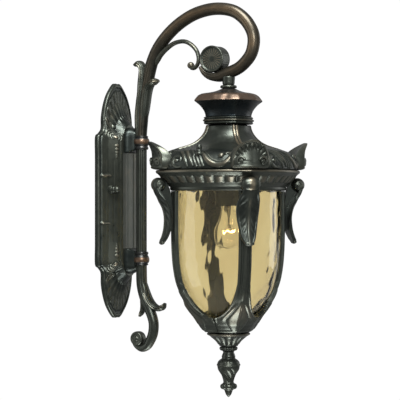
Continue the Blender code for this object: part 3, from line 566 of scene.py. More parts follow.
def plated(name, colour, rough, metallic=1.0, bumpy=0.1):
    """Plated or glazed small parts, with faint stains and handling marks."""
    material, tree, shader, where = nodes_for(name)
    stains = noise(tree, where, 160.0, 5.0, 0.6)
    grain = noise(tree, where, 1800.0, 2.0, 0.5)
    darker = tuple(c * 0.72 for c in colour)
    paint(tree, shader, "Base Color", stains, [(0.3, darker), (0.62, colour)])
    paint(tree, shader, "Roughness", stains, [(0.3, rough + 0.15), (0.7, rough)])
    shader.inputs["Metallic"].default_value = metallic
    bump(tree, shader, grain, bumpy, 0.0004)
    return material


BRONZE = bronze(
    "cast_bronze", (0.011, 0.015, 0.014), (0.048, 0.053, 0.043), (0.140, 0.116, 0.080)
)
BROWN = bronze(
    "brown_bronze", (0.012, 0.014, 0.012), (0.048, 0.041, 0.029), (0.165, 0.108, 0.056),
    (0.30, 0.36),
)
COPPER = bronze(
    "rubbed_bronze", (0.007, 0.014, 0.018), (0.038, 0.037, 0.034), (0.14, 0.088, 0.056),
    (0.26, 0.40),
)
AMBER = amber_glass()
CLEAR = clear_glass()
STEEL = plated("zinc_plate", (0.55, 0.56, 0.57), 0.28)
FILAMENT = warm_filament()
BRASS = plated("satin_brass", (0.74, 0.55, 0.26), 0.25)
PORCELAIN = plated("glazed_porcelain", (0.84, 0.82, 0.75), 0.18, 0.0)
RUBBER = plated("cable_rubber", (0.03, 0.03, 0.032), 0.6, 0.0, 0.3)


# ------------------------------------------------------------------- backplate

PLATE_OUTLINE = [
    (0, 242), (10, 242), (23, 232), (38, 215), (49, 193), (55, 170),
    (56, 148), (66, 138), (77, 129), (77, 90), (77, 45), (77, 0),
]
BOSS_OUTLINE = [
    (0, 156), (5, 155.6), (10, 154), (15, 151), (20, 146), (24, 139.5),
    (26, 133), (27.5, 127), (28, 120), (28, 88), (28, 44), (28, 0),
]
# Share of the way from edge to boss, with the depth there on the flanks and the palmettes
PLATE_RISE = [
    (0.0, 6.0, 6.0), (0.1, 9.5, 8.0), (0.45, 19.0, 10.0), (0.78, 31.0, 20.0), (1.0, 37.0, 37.0),
]
PLATE_GAP = 0.4
PALMETTE_FOOT = 146.0
PALMETTE_FULL = 170.0
STUD_SIDE = 50.0
STUD_HEIGHT = 23.0
NUT_SEAT_OUT = 28.8
# The palmette's ribs: their spacing along the rim's stations, and where they end
FAN_STEP = 0.0885
FAN_END = 0.50
PLATE_VOLUTE = (41, 130.5)
# Height and size of the beads that hang from the volute
DROPS = ((112.5, 2.9), (105, 2.6), (98.6, 2.3), (93.2, 2.0), (88.6, 1.7))


def arc(centre, radius, start, end):
    """Points along part of a circle, with its angles in degrees."""
    return polar(centre, radius, np.radians(np.linspace(start, end, 14)))


def plate_relief(x, z, share, station):
    """Ornament of the backplate: fanned palmettes, ringed volutes, drops and short ledges."""
    side = np.abs(x)
    up = np.abs(z)
    border = 1.5 * ridge(share - 0.05, 0.045) - 1.6 * ridge(share - 0.14, 0.045)
    turn = station / FAN_STEP + 0.30 * np.sin(np.pi * share)
    fans = (0.5 + 0.5 * np.cos(TAU * turn)) ** 3 * between(share, 0.19, 0.84, 0.06)
    fans = 1.3 * fans * (1 - step_up(station, FAN_END - 0.04, FAN_END))
    best = 0.7 * stroke(side, up, spline([(50, 180), (48, 166), (41, 155), (31, 151)], 3),
                        [1.4, 2.4, 2.6, 2.2])
    for radius, start, end in ((15.5, 20, 215), (11.3, 0, 225), (7.4, -40, 235)):
        ring = stroke(side, up, arc(PLATE_VOLUTE, radius, start, end), [1.0, 1.6, 1.1])
        best = np.maximum(best, 0.7 * ring)
    best = np.maximum(best, ball(side, up, PLATE_VOLUTE, 3.8))
    best = np.maximum(best, 0.7 * ball(side, up, (33, 152), 4.2))
    for height, radius in DROPS:
        best = np.maximum(best, 0.55 * ball(side, up, (40, height), 1.3 * radius))
    for height, half in ((51, 10), (-46, 8)):
        ledge = stroke(side, z, [(62 - half, height), (62 + half, height)], [1.8])
        best = np.maximum(best, 1.8 * ledge)
    lines = -0.3 * ridge(share - 0.64, 0.03) + 0.25 * ridge(share - 0.40, 0.04)
    lines = lines * (up < 84) + 0.5 * ridge(share - 0.93, 0.04) * (up < 150)
    return border + np.maximum(fans, best * between(share, 0.15, 0.97, 0.03)) + lines


def round_plate(values, flip_up=1, flip_side=1):
    """One quarter of the plate's stations, mirrored to the whole way round."""
    half = np.concatenate([values, values[..., -2::-1, :] * (1, flip_up)], axis=-2)
    return np.concatenate([half, half[..., -2:0:-1, :] * (flip_side, 1)], axis=-2)


def plate_grid(across, around):
    """Points of the plate from its rim (share 0) to its boss (1) and over the boss (2)."""
    at = np.linspace(0, 1, around)
    # Both outlines are read at the same stations, so that each rib runs straight in.
    edge = fine_stations(PLATE_OUTLINE, at)
    boss = fine_stations(BOSS_OUTLINE, at)
    spine = np.stack([np.zeros(around), np.minimum(boss[:, 1], 118)], -1)
    share = np.concatenate([np.linspace(0, 1, across), np.linspace(1, 2, across // 3 + 1)[1:]])
    out, on = np.clip(share, 0, 1)[:, None, None], np.clip(share - 1, 0, 1)[:, None, None]
    quarter = np.where(on > 0, boss + (spine - boss) * on, edge + (boss - edge) * out)
    x, z = np.moveaxis(round_plate(quarter, -1, -1), -1, 0)
    share = np.broadcast_to(share[:, None], x.shape)
    climb = np.clip((edge[:, 1] - PALMETTE_FOOT) / (PALMETTE_FULL - PALMETTE_FOOT), 0, 1)
    climb, station = round_plate(np.stack([climb, at], -1)).T
    station = np.broadcast_to(station, x.shape)
    steps, flank, palmette = np.array(PLATE_RISE).T
    low = np.interp(share, steps, flank)
    depth = low + (np.interp(share, steps, palmette) - low) * climb
    top = 0.3 * ridge(np.abs(x) - 17, 3.4) - 0.3 * ridge(np.abs(x) - 10.5, 3.0)
    top = top * between(np.abs(z), -1, 98, 3)
    raised = np.where(share < 1.0, plate_relief(x, z, share, station), top)
    return np.stack([x, -PLATE_GAP - depth - raised, z], -1), share, raised


def fine_stations(outline, at):
    """Points on a curve through an outline, read at shares of its count of corners."""
    dense = spline(np.column_stack([outline, np.linspace(0, 1, len(outline))]), 0.5)
    return np.stack([np.interp(at, dense[:, 2], dense[:, c]) for c in (0, 1)], -1)


def make_backplate():
    front, share, raised = plate_grid(84, 256)
    cols = front.shape[1]
    rim = front[0] * (1, 0, 1) + (0, -PLATE_GAP, 0)
    # The hollow back follows the front, a wall's thickness behind it.
    inner = front[:54:3] * (0.94, 1, 0.98)
    inner[..., 1] = np.minimum(front[:54:3, :, 1] + 4.5, -0.9)
    inner[0, :, 1] = -PLATE_GAP
    floor = inner[-1] * (0.6, 1, 0.9)
    loops = np.concatenate([floor[None], inner[::-1], rim[None], front])
    # Painted shade darkens the colour round the palmettes' feet, in the hollow behind the lugs, and
    # along the outer bead, where those slopes would otherwise shine.
    palmette_feet_shade = step_up(np.abs(front[..., 2]), 128, 142) * between(share, 0.62, 1.0, 0.05)
    wear_and_light = 0.32 + raised * 0.09 - 0.10 * (raised < -0.4) + 0.06 * (share >= 1.0)
    wear_and_light = wear_and_light - (0.24 * palmette_feet_shade + 0.16 * (share < 0.12))
    wear_and_light = np.concatenate([np.full((len(inner) + 2, cols), 0.2), wear_and_light])
    count = len(loops)
    start = np.arange(cols)
    faces = [grid(count, cols, wrap_cols=True), fan(count * cols, start, False)]
    points = np.concatenate([loops.reshape(-1, 3), floor.mean(0)[None]])
    # The boss's last ring is a doubled line, which a strip closes.
    last = (count - 1) * cols + start
    strip = [(last[i], last[i + 1], last[(cols - i - 1) % cols], last[(cols - i) % cols])
             for i in range(1, cols // 2 - 1)]
    faces.append(np.array(strip))
    form = Form()
    form.add(points, faces, np.concatenate([wear_and_light.ravel(), [0.2]]))
    for _, sign in SIDES:
        seat = [(2.9, 18), (2.9, 28.4), (2.9, 28.4), (7.6, 28.4), (8.4, 26.5), (8.4, 18)]
        lathe(form, seat, (sign * STUD_SIDE, 0, STUD_HEIGHT), axis="y", segs=48, step=1.0, rub=0.32)
    piece(form, "backplate_casting", "root", BRONZE, "bronze", "backplate", 60)


def make_wall_fittings():
    dome = [
        (0, 9.4), (2.8, 9.4), (2.8, 9.4), (2.8, 0), (2.8, 0), (6.6, 0), (6.6, 0), (6.9, 1.6),
        (6.4, 3), (5.4, 3.8), (6.0, 5.6), (6.2, 8), (5.4, 11), (3, 13.3), (0, 14),
    ]
    collar = [(1, 2.9), (1, 6), (4.9, 6), (4.9, 2.9)]
    for side, sign in SIDES:
        label = (f"dome_nut_{side}", f"plate_nut_{side}", BRONZE, "rubbed_bronze",
                 f"plate_cap_nut_{side}")
        turned_piece(label, dome, at=(sign * STUD_SIDE, NUT_SEAT_OUT, STUD_HEIGHT), axis="y",
                     segs=48, step=0.6, closed=False, rub=0.32)
        form = Form()
        at = (sign * STUD_SIDE, 0, STUD_HEIGHT)
        threaded(form, at, 0.3, 36, 2.5, 0.8, "y")
        lathe(form, collar, at, axis="y", segs=48, sides=6, rounds=1)
        piece(form, f"stud_{side}", "root", STEEL, "steel", f"fixing_stud_{side}")


def threaded(form, at, low, high, radius, pitch, axis="z"):
    """Rod with thread crests along it."""
    root = radius - 0.35
    profile = [(0.0, low), (root, low)]
    for turn in range(int((high - low) / pitch)):
        base = low + (turn + 0.25) * pitch
        profile += [(root, base), (radius, base + pitch * 0.4)]
    profile += [(root, high), (0.0, high)]
    lathe(form, profile, at, axis=axis, segs=32, step=2.0, closed=False, rounds=0)


def threaded_piece(label, side, *how):
    built_piece(label, threaded, (side, LANTERN_OUT, 0), *how)


def hex_nut(label, bore, radius, high, low):
    profile = [(bore, high), (radius, high), (radius, low), (bore, low)]
    turned_piece(label, profile, segs=72, sides=6, rounds=1, step=1.0)


# ------------------------------------------------------------------------- arm

ARCH_PATH = [
    (65, 112.3), (65.1, 134), (66.6, 160), (71, 202), (80.7, 248), (91.9, 287), (110, 319),
    (138, 347.5), (170.5, 368.7), (203, 381), (240, 385.5), (277, 379.5), (303, 362.5),
    (319.5, 340), (324.8, 319), (320, 294.5), (307, 277), (289, 263.5),
]
ARCH_RADII = [
    10.7, 10.9, 11.6, 12.0, 12.2, 12.4, 12.6, 12.6, 12.6, 12.6, 12.6, 12.6, 12.6,
    12.6, 12.6, 12.5, 12.4, 12.2,
]
DRUM_CENTRE = (236.6, 284.1)
DRUM_RADIUS = 26.9
DRUM_WIDTH = 31.0
CURL_ANGLES = (-50, -75, -100, -125, -150)
CURL_RADII = np.array([12.0, 9.8, 7.4, 5.2, 3.2])
STRAP_HALF = 16.2
BRANCH_PATH = [
    (90, 276), (103.4, 291), (111.7, 300), (125.9, 311), (144.7, 321.2), (165.8, 323.3),
    (182.5, 316), (195, 303), (199.5, 288.3), (197.5, 276), (190, 268.5), (182.5, 269),
]
BRANCH_RADII = [8.0, 6.8, 5.6, 4.7, 4.2, 4.0, 4.0, 4.0, 4.0, 4.0, 3.9, 3.8]
KNOB_CENTRE = (181.5, 274.0)
TAIL_PATH = [
    (65, -112.3), (65, -140), (66.3, -173), (73, -199), (82.5, -219.5), (91.5, -240.5),
    (94.3, -256), (92, -274), (84.5, -290),
]
TAIL_RADII = [10.7, 10.9, 11.0, 11.0, 10.8, 10.6, 10.5, 10.4, 9.8]
VOLUTE_CENTRE = (57.0, -284.0)


def bundle_of(ribs, depth, power, offset, angle):
    """Relief of rounded reeds bundled along a bar."""
    return depth * (np.abs(np.cos(angle * ribs / 2)) ** power - offset)


def make_post():
    path = spaced(np.array([(POST_OUT, -111.7), (POST_OUT, 111.7)]), 4.0)

    def raised(angle, along):
        return bundle_of(12, 0.09, 0.7, 0.62, angle) + 0 * along

    swept_piece(("post_reeded", "root", BRONZE, "bronze", "post_tube"), path, 10.6, raised, 0.30,
                96, 1.0, (False, False))


COLLAR_PROFILE = [
    (10.9, 133), (13.4, 133), (14.3, 131.6), (13.0, 129.6), (13.0, 129.2), (15.8, 126.2),
    (16.7, 121.5), (15.6, 116.2), (12.9, 112.2), (12.9, 111.4), (14.4, 109.4), (14.2, 106),
    (13, 105), (10.9, 105),
]


def make_collars():
    for end, sign in ENDS:
        profile = [(radius, sign * z) for radius, z in COLLAR_PROFILE]
        label = (f"collar_ring_{end}", "root", COPPER, "rubbed_bronze", f"collar_{end}")
        turned_piece(label, profile, at=(0, POST_OUT, 0), segs=64, step=0.8,
                     worn=worn_by(0.24, 0, 0.46, 14.6, 16.4))


# Rise of a lug's arched top over its half width
LUG_ARCH = 0.82
# Sections of a lug as (out, half width, lowest, highest point)
LUG_SECTIONS = (
    (37.6, 22.6, 98.6, 149.6), (38.2, 23.8, 98, 151), (42, 23, 98.4, 151), (46, 20, 99, 150),
    (50, 16, 101, 147.5), (54, 12.5, 103, 145), (57.5, 10, 104, 143),
)


def add_lug(form, sign):
    rings = []
    for out, half, low, high in LUG_SECTIONS:
        rise = half * LUG_ARCH
        top = high - rise
        arch = [(half * math.cos(t), top + rise * math.sin(t)) for t in np.linspace(0, math.pi, 25)]
        down = np.linspace(top, low, 9)[1:]
        foot = [(-half, z) for z in down] + [(half * share, low) for share in (-0.5, 0, 0.5)]
        foot += [(half, z) for z in down[::-1]]
        loop = softened(np.concatenate([arch, foot]), True, 1)
        rings.append(np.stack([loop[:, 0], np.full(len(loop), -out), sign * loop[:, 1]], -1))
    # The lugs are coloured near black all over, a painted shade.
    add_capped(form, np.array(rings), 0.06)


def make_lugs():
    for end, sign in ENDS:
        built_piece((f"lug_{end}", "root", BRONZE, "bronze", f"arm_lug_{end}"), add_lug, sign)


def make_arch():
    curl = polar(DRUM_CENTRE, DRUM_RADIUS + CURL_RADII + 0.5, np.radians(CURL_ANGLES))
    rows = np.column_stack([[*ARCH_PATH, *curl], [*ARCH_RADII, *CURL_RADII]])
    dense = spline(rows, 2.5)
    along = np.arange(len(dense)) * 2.5
    strap_from, strap_full = along[-1] - 75, along[-1] - 25

    def raised(angle, distance):
        bundle = bundle_of(8, 0.10, 0.6, 0.6, angle) * (1 - step_up(distance, 150, 215))
        # A soft seam runs on along each flank of the round tube.
        flank = 0.035 * ridge(np.cos(angle), 0.16) * step_up(distance, 190, 240)
        squared = (np.cos(angle) ** 6 + np.sin(angle) ** 6) ** (-1 / 6) - 1
        return bundle + flank + squared * step_up(distance, strap_from, strap_full)

    # Painted highlight: the tube is lighter along its middle, on the faces that turn to either
    # side, with painted dark edges above and below; it is also lighter over the arch's crown.
    wear_and_light = 0.20 + 0.20 * between(along, 235, 560, 60)
    angle = np.arange(72) * TAU / 72
    wear_and_light = wear_and_light[:, None] - 0.14 + 0.24 * np.sin(angle)[None, :] ** 4
    wear_and_light = np.concatenate([wear_and_light, wear_and_light[-1:].repeat(END_RINGS, axis=0)])
    # The bar ends as a broad strap, as wide as the boss that it curls under.
    broad = 1 + (STRAP_HALF / dense[:, 2] - 1) * step_up(along, strap_from, strap_full)
    broad = np.concatenate([broad, broad[-1:].repeat(END_RINGS)])
    swept_piece(("arch_tube", "root", BROWN, "bronze", "arm_arch"), dense[:, :2], dense[:, 2],
                raised, wear_and_light, 72, broad, (False, True))


def flare(form, stations, rub=0.3):
    """Solid sheath leaf along (out, height, thickness, half width) stations, with a lip."""
    dense = spline(stations, 1.2)
    along = np.arange(len(dense)) * 1.2
    thick, half = dense[:, 2] / 2, dense[:, 3]

    def raised(angle, distance):
        edge = 0.10 * ridge(np.abs(np.cos(angle)) - 0.32, 0.16)
        seam = -0.10 * ridge(np.cos(angle), 0.10)
        lip = 0.22 * ridge(distance - along[-1] + 4, 5)
        return (edge + seam) * step_up(distance, 8, 30) + lip

    angle = np.arange(48) * TAU / 48
    # A painted highlight lightens the leaf along both its edges and at its lip.
    lip = 0.10 * step_up(along, along[-1] - 26, along[-1] - 6)
    wear_and_light = rub + lip[:, None] + 0.14 * ridge(np.cos(angle), 0.35)[None, :]
    more = ((END_RINGS, END_RINGS), (0, 0))
    sweep(form, in_plane(dense[:, :2]), thick, raised, np.pad(wear_and_light, more, "edge"), 48,
          np.pad(half / thick, more[0], "edge"))


SHEATH_WALL = [
    (60.6, 134, 18, 11.2), (60.5, 150, 19, 12), (61.0, 176, 20, 13), (64.2, 203, 20.4, 13.4),
    (67.0, 222, 20.4, 13.6), (68.0, 240, 20.4, 13.6), (69.4, 257, 19.4, 13.2),
    (69.2, 270, 17, 12.8), (65, 278.6, 14.6, 12.4), (58, 281.6, 11.4, 11), (50.6, 280, 7.6, 8.6),
]
SHEATH_FRONT = [
    (70, 160, 10, 10.6), (73, 184, 17, 12.6), (75.6, 204, 18.6, 13.8), (78.4, 219, 17.4, 14),
    (82, 231, 16, 13.6), (87.6, 239, 13.4, 12.4), (95.4, 244, 12, 10.6), (103.2, 245.4, 8.4, 8.2),
]


def make_sheath_leaves():
    for side, stations in (("wall", SHEATH_WALL), ("front", SHEATH_FRONT)):
        label = (f"sheath_curl_{side}", "root", BRONZE, "bronze", f"sheath_leaf_{side}")
        built_piece(label, flare, stations)


def mirrored(profile):
    """A half profile from an end of a roll, followed by its mirror image."""
    return profile + [(radius, -height) for radius, height in reversed(profile)]


def make_branch():
    dense = spline(np.column_stack([BRANCH_PATH, BRANCH_RADII]), 1.6)

    def raised(angle, along):
        return 0.16 * ridge(np.sin(angle), 0.4) * np.ones_like(along) - 0.05

    form = Form()
    sweep(form, in_plane(dense[:, :2]), dense[:, 2], raised, 0.40, 32, flat=1.25)
    knob = mirrored([(0, 7), (3.2, 6.8), (5.9, 4.6), (7, 1.6)])
    lathe(form, knob, (0, *KNOB_CENTRE), axis="x", segs=40, step=1.0, closed=False, rub=0.5)
    piece(form, "branch_tendril", "root", BRONZE, "bronze", "branch_scroll")


def make_drum():
    half = DRUM_WIDTH / 2

    def raised(angle, radius, height):
        face = np.abs(height) > half - 4.5
        flutes = 0.36 * (np.abs(np.cos(angle * 11)) - 0.5) * between(radius, 7, 21.5, 3.0)
        side = 0.25 * np.abs(np.cos(angle * 16)) * between(np.abs(height), -1, half - 4, 0.8)
        return np.where(face & (radius < 23), flutes, side * (radius > 26))

    def worn(angle, radius, height, lift):
        rays = 0.45 * np.abs(np.cos(angle * 11)) ** 4 * between(radius, 5, 20.5, 2.0)
        rim = 0.14 * between(radius, 23, 26, 0.6)
        return 0.24 + 0.16 * lift + (rays + rim) * (np.abs(height) > half - 4)

    profile = mirrored([
        (0, half - 2.4), (4, half - 2.6), (9, half - 3.0), (20, half - 2.6), (22.6, half - 1.8),
        (23.4, half + 0.2), (25.8, half + 0.4), (DRUM_RADIUS, half - 1.0), (26.1, half - 4),
    ])
    turned_piece(
        ("scroll_boss", "root", BRONZE, "bronze", "scroll_drum"), profile, at=(0, *DRUM_CENTRE),
        relief=raised, worn=worn, segs=308, axis="x", step=1.2, closed=False,
    )


# Radius about the volute's centre, angle and bar radius along the tail's last turn
TAIL_CURL = ((25.5, -35, 8.8), (21.5, -65, 7.6), (15, -100, 6.6), (12, -150, 5))
TAIL_LEAF_FRONT = [
    (72, -172, 12, 9), (77.6, -190, 14.5, 11), (85, -206, 15.4, 11.8), (95, -216.5, 14.4, 11.4),
    (106, -220.6, 12.6, 10.4), (115.4, -218, 9.6, 8.6), (120.6, -211, 6.4, 5.6),
]
TAIL_LEAF_WALL = [
    (68, -180, 9, 8), (69, -200, 11, 9.4), (69.6, -216, 10.5, 9.2), (66.4, -229, 7.5, 7.6),
    (61, -237.6, 4.6, 5),
]


def make_tail():
    reach, turn, thick = np.array(TAIL_CURL).T
    curl = polar(VOLUTE_CENTRE, reach, np.radians(turn))
    dense = spline(np.column_stack([[*TAIL_PATH, *curl], [*TAIL_RADII, *thick]]), 2.0)
    angle = np.arange(64) * TAU / 64
    # A painted highlight lightens the bar along the sides that face away from the wall and towards
    # it, which show as its edges.
    wear_and_light = np.broadcast_to(0.26 + 0.26 * ridge(np.sin(angle), 0.4), (len(dense) + END_RINGS, 64))

    def raised(angle, along):
        bundle = bundle_of(8, 0.11, 0.6, 0.6, angle)
        seam = 0.05 * ridge(np.sin(angle), 0.3)
        return bundle * (1 - step_up(along, 70, 130)) + seam * step_up(along, 120, 150)

    form = Form()
    sweep(form, in_plane(dense[:, :2]), dense[:, 2], raised, wear_and_light, 64, 1.0, (False, True))
    roll = [(0, 11.2), (3.5, 11), (5.2, 9), (7.5, 8.4), (11.5, 10.4), (13.6, 9.2), (15, 5)]
    lathe(form, mirrored(roll), (0, *VOLUTE_CENTRE), axis="x", segs=64, step=1.0, closed=False,
          rub=0.36)
    flare(form, TAIL_LEAF_FRONT)
    flare(form, TAIL_LEAF_WALL)
    piece(form, "tail_scroll", "root", BRONZE, "bronze", "arm_tail")


# --------------------------------------------------------------- lantern head

CROWN_PROFILE = [
    (9.4, 224.2), (14, 224), (24, 219.4), (36, 216.4), (54, 214), (61, 211.4), (67.4, 204),
    (70.8, 200), (70.8, 198.4), (68.6, 197), (59.8, 190.4), (51.6, 180.6), (47.8, 170.6),
    (48.5, 167.4), (44, 167.4), (43.5, 171), (47.5, 182), (55.5, 192.2), (62, 198.2),
    (55, 207.5), (34, 211.2), (22, 215), (14, 219), (9.4, 220),
]
NECK_PROFILE = [
    (43, 167.2), (49.8, 167.2), (52.2, 165.4), (50.2, 163.2), (50.2, 162.8), (54.8, 160.2),
    (50.4, 157.2), (50.4, 156.8), (52.4, 154.8), (49.5, 152.4), (43, 152.4),
]
ROOF_OUTSIDE = [
    (44.7, 152.1), (46, 143), (49.7, 134.5), (58, 123.5), (74.5, 111.4), (104, 102.6),
    (127, 98), (138.7, 89.8), (147.5, 75.4), (147, 66), (146, 61.2),
]
ROOF_INSIDE = [
    (141, 61.2), (142.8, 74.5), (134, 86), (124.5, 93.2), (103, 98), (71.5, 106.8),
    (54, 119.5), (45.5, 131.5), (41.5, 147.5),
]


def around_face(angle, radius):
    """Distance from the nearest face's middle, along the plan, in millimetres."""
    return radius * PLAN_LENGTH * face_turn(angle)


BELL_FOOT = 102
# Strokes of the running scroll as (side, distance down the cove), with their widths
FRIEZE = (
    ([(-4, 0), (6, 8), (15, 18), (24, 28), (34, 35), (45, 37.5), (57, 35), (66, 28), (70, 19),
      (66, 12), (59, 10)], [2.0, 4.4, 5.4, 5.4, 4.6, 3.0]),
    ([(8, 2), (18, 11), (27, 21), (37, 28), (48, 30), (57, 27)], [1.4, 3.0, 3.2, 2.0]),
    ([(-12, 18), (0, 40)], [2.0, 2.8]),
    ([(-5, 15), (8, 40)], [2.0, 3.0]),
    ([(2, 14), (15, 39)], [2.0, 2.8]),
    ([(-44, -3), (-29, 6), (-21, 20), (-9, 38)], [2.4, 4.6, 4.4, 2.4]),
    ([(-28, -5), (-17, 4), (-10, 16)], [2.0, 3.6, 2.0]),
    ([(-56, 2), (-42, 8), (-33, 20), (-22, 40)], [2.2, 4.4, 4.2, 2.2]),
    ([(-38, 40), (-48, 41), (-59, 35), (-60, 24), (-51, 17), (-42, 21), (-41, 29)],
     [2.4, 3.6, 3.8, 3.0, 2.2]),
    ([(-62, 2), (-76, 0), (-84, 9), (-80, 18)], [2.4, 3.4, 3.0, 2.0]),
)
FRIEZE_BALLS = (((50, 17.5), 6.2), ((59, 13), 3.4), ((-51, 28), 4.6), ((-76, 10), 4.0))
FRIEZE_LEAVES = (((64, 36), (92, 6), 7), ((-62, 40), (-92, 12), 7), ((-34, 0), (-70, 4), 5))


def roof_relief(angle, radius, height):
    """Running scroll on each face, a seam up each hip and a plain bell between them."""
    side = around_face(angle, radius)
    # Distance down the cove, which runs from the bell's foot to the gallery.
    down = np.interp(height, [61, 75.4, 89.8, 98, 103], [45, 31, 14, 0, -24])
    best = np.zeros_like(side)
    for points, widths in FRIEZE:
        path = spline(points, 4.0) if len(points) > 2 else points
        best = np.maximum(best, 0.85 * stroke(side, down, path, widths))
    for centre, size in FRIEZE_BALLS:
        best = np.maximum(best, 0.95 * ball(side, down, centre, size))
    for base, tip, half in FRIEZE_LEAVES:
        best = np.maximum(best, 2.8 * leaf(side, down, base, tip, half))
    frieze = best * between(height, 63, 101, 1.2)
    gap = np.abs((angle % (math.pi / 2)) - math.pi / 4) * radius
    hip = 2.4 * ridge(gap - 3.4, 3.0) * step_up(height, BELL_FOOT - 5, BELL_FOOT + 2)
    outer = step_up(radius, 40, 46) * (height > 60)
    return (frieze * 0.85 + hip) * outer


def roof_worn(angle, radius, height, lift):
    cove = (0.11 * np.clip(lift, 0, 3.6) - 0.12) * (height < BELL_FOOT)
    return 0.24 + cove + 0.20 * lift * (height >= BELL_FOOT)


def crown_worn(angle, radius, height, lift):
    band = between(height, 198.4, 213.6, 1.2) * step_up(radius, 55, 58)
    return 0.12 + 0.48 * band + 0.30 * step_up(height, 213, 216) * step_up(radius, 12, 20)


def crown_relief(angle, radius, height):
    band = between(height, 199, 210, 2.5) * step_up(radius, 57, 60)
    return 0.9 * band * (np.cos(angle * 8) + 0.3 * np.cos(angle * 20 + 1))


STEM_PROFILE = [
    (6.4, 249), (13.4, 249), (12.6, 241), (12.2, 232.6), (10.4, 231.4), (9, 230), (9, 214),
    (6.4, 214),
]
RING_PROFILE = [(9.4, 231), (14, 231), (16.6, 229.4), (16.8, 226.4), (15, 224.6), (9.4, 224.6)]
ROOF_NUT_PROFILE = [
    (0, 10.4), (2.8, 10.4), (2.8, 0), (6.4, 0), (6.4, 0), (6.6, 1.5), (6.2, 2.8), (4.8, 4),
    (5.2, 5.6), (5.7, 8), (5.5, 10.4), (4.4, 13.2), (2.4, 15.2), (0, 15.6),
]


def make_head():
    turned_piece(("stem_sleeve", "root", BRONZE, "bronze", "hanger_stem"), STEM_PROFILE,
                 segs=64, step=1.2, rub=0.25)
    turned_piece(("stem_ring", "root", BRONZE, "rubbed_bronze", "hanger_ring"), RING_PROFILE,
                 segs=64, step=0.8, rub=0.35)
    turned_piece(("crown_cap", "root", COPPER, "bronze", "crown"), CROWN_PROFILE, 40,
                 relief=crown_relief, worn=crown_worn, segs=256, square=True, step=1.2)
    turned_piece(("neck_moulding", "root", BRONZE, "bronze", "neck_ring"), NECK_PROFILE, 40,
                 segs=192, square=True, step=1.0, worn=worn_by(0.2, 0, 0.35, 51, 54))
    web = [(6.7, 147.5), (6.7, 147.5), (6.7, 152.1), (6.7, 152.1)]
    form = Form()
    lathe(form, ROOF_OUTSIDE + ROOF_INSIDE + web, relief=roof_relief, worn=roof_worn, segs=880,
          square=True, step=1.0)
    for _, sign in SIDES:
        seat = [(3.3, 88), (3.3, 94.5), (7.9, 94.5), (7.9, 88)]
        lathe(form, seat, (sign * ROOF_STUD_SIDE, LANTERN_OUT, 0), segs=40, step=1.0, rounds=1)
    piece(form, "roof_casting", "root", BRONZE, "bronze", "roof", 50)
    for side, sign in SIDES:
        label = (f"cap_nut_{side}", f"roof_nut_{side}", BRONZE, "rubbed_bronze",
                 f"roof_cap_nut_{side}")
        turned_piece(label, ROOF_NUT_PROFILE, at=(sign * ROOF_STUD_SIDE, LANTERN_OUT, 94.8),
                     segs=48, step=0.6, closed=False, rub=0.2)
    for corner, degrees in CORNERS.items():
        label = (f"shell_crest_{corner}", "root", BRONZE, "bronze", f"corner_shell_{corner}")
        built_piece(label, add_shell, degrees, sharp=60)


# Rows of a shell as (height, reach of its front, reach of its back, half width)
SHELL_ROWS = [
    (61.6, 150, 128, 31), (65, 157, 128, 36), (76, 160.5, 130, 38), (88, 159, 134, 36.6),
    (99, 158.5, 140, 31), (107, 160, 148, 23.6), (112.6, 162, 155, 15), (115.6, 163.6, 159, 8),
    (116.8, 164.4, 160.6, 1.2),
]
SHELL_HALF = 38.0
SHELL_ARCH = 40.8
SHELL_ARCH_FOOT = 76
SHELL_VOLUTE = (24, 76)


def add_shell(form, degrees):
    """Scallop crest with a fluted dish, a raised rim and a volute at each foot."""
    dense = spline(np.array(SHELL_ROWS)[:, [0, 3, 1, 2]], 0.8)
    u = np.linspace(-1, 1, 181)
    z = dense[:, 0:1] * np.ones_like(u)
    side = dense[:, 1:2] * u
    size = np.abs(side)
    # Distance in from the arched outline, which is a half ellipse over a straight foot.
    above = np.clip(z - SHELL_ARCH_FOOT, 0, None)
    rim_gap = (1 - np.hypot(side / SHELL_HALF, above / SHELL_ARCH)) * 39.0
    rim = 2.0 * ridge(rim_gap - 2.0, 2.4)
    dish = -4.0 * step_up(rim_gap, 3, 14) * step_up(z, 66, 76)
    flutes = 2.4 * (np.abs(np.cos(np.arctan2(side, z - 70) * 13)) ** 0.7 - 0.5)
    flutes = flutes * step_up(rim_gap, 3.5, 6.5)
    flutes = flutes * (1 - step_up(rim_gap, 10, 20)) * step_up(z, 82, 92)
    curl = 0.6 * stroke(size, z, volute(SHELL_VOLUTE, 8.6, 1.4, 150, -1), [2.8, 1.6])
    curl = np.maximum(curl, 0.5 * ball(size, z, SHELL_VOLUTE, 2.4))
    base = 1.6 * ridge(z - 64.5, 3.0)
    lift = np.maximum.reduce([rim, curl, base]) + dish * (curl < 0.3) + flutes * (curl < 0.3)
    reach = dense[:, 2:3] - 0.010 * side**2 + lift
    back = np.minimum(dense[:, 3:4] - 0.004 * side**2, reach - 3.0)
    front, rear = (turned_to(np.stack([away, side, z], -1), degrees) for away in (reach, back))
    add_sheet(form, front, rear, 0.26 + 0.09 * np.maximum.reduce([rim, curl, flutes, base]))


# ------------------------------------------------------------------------ lamp


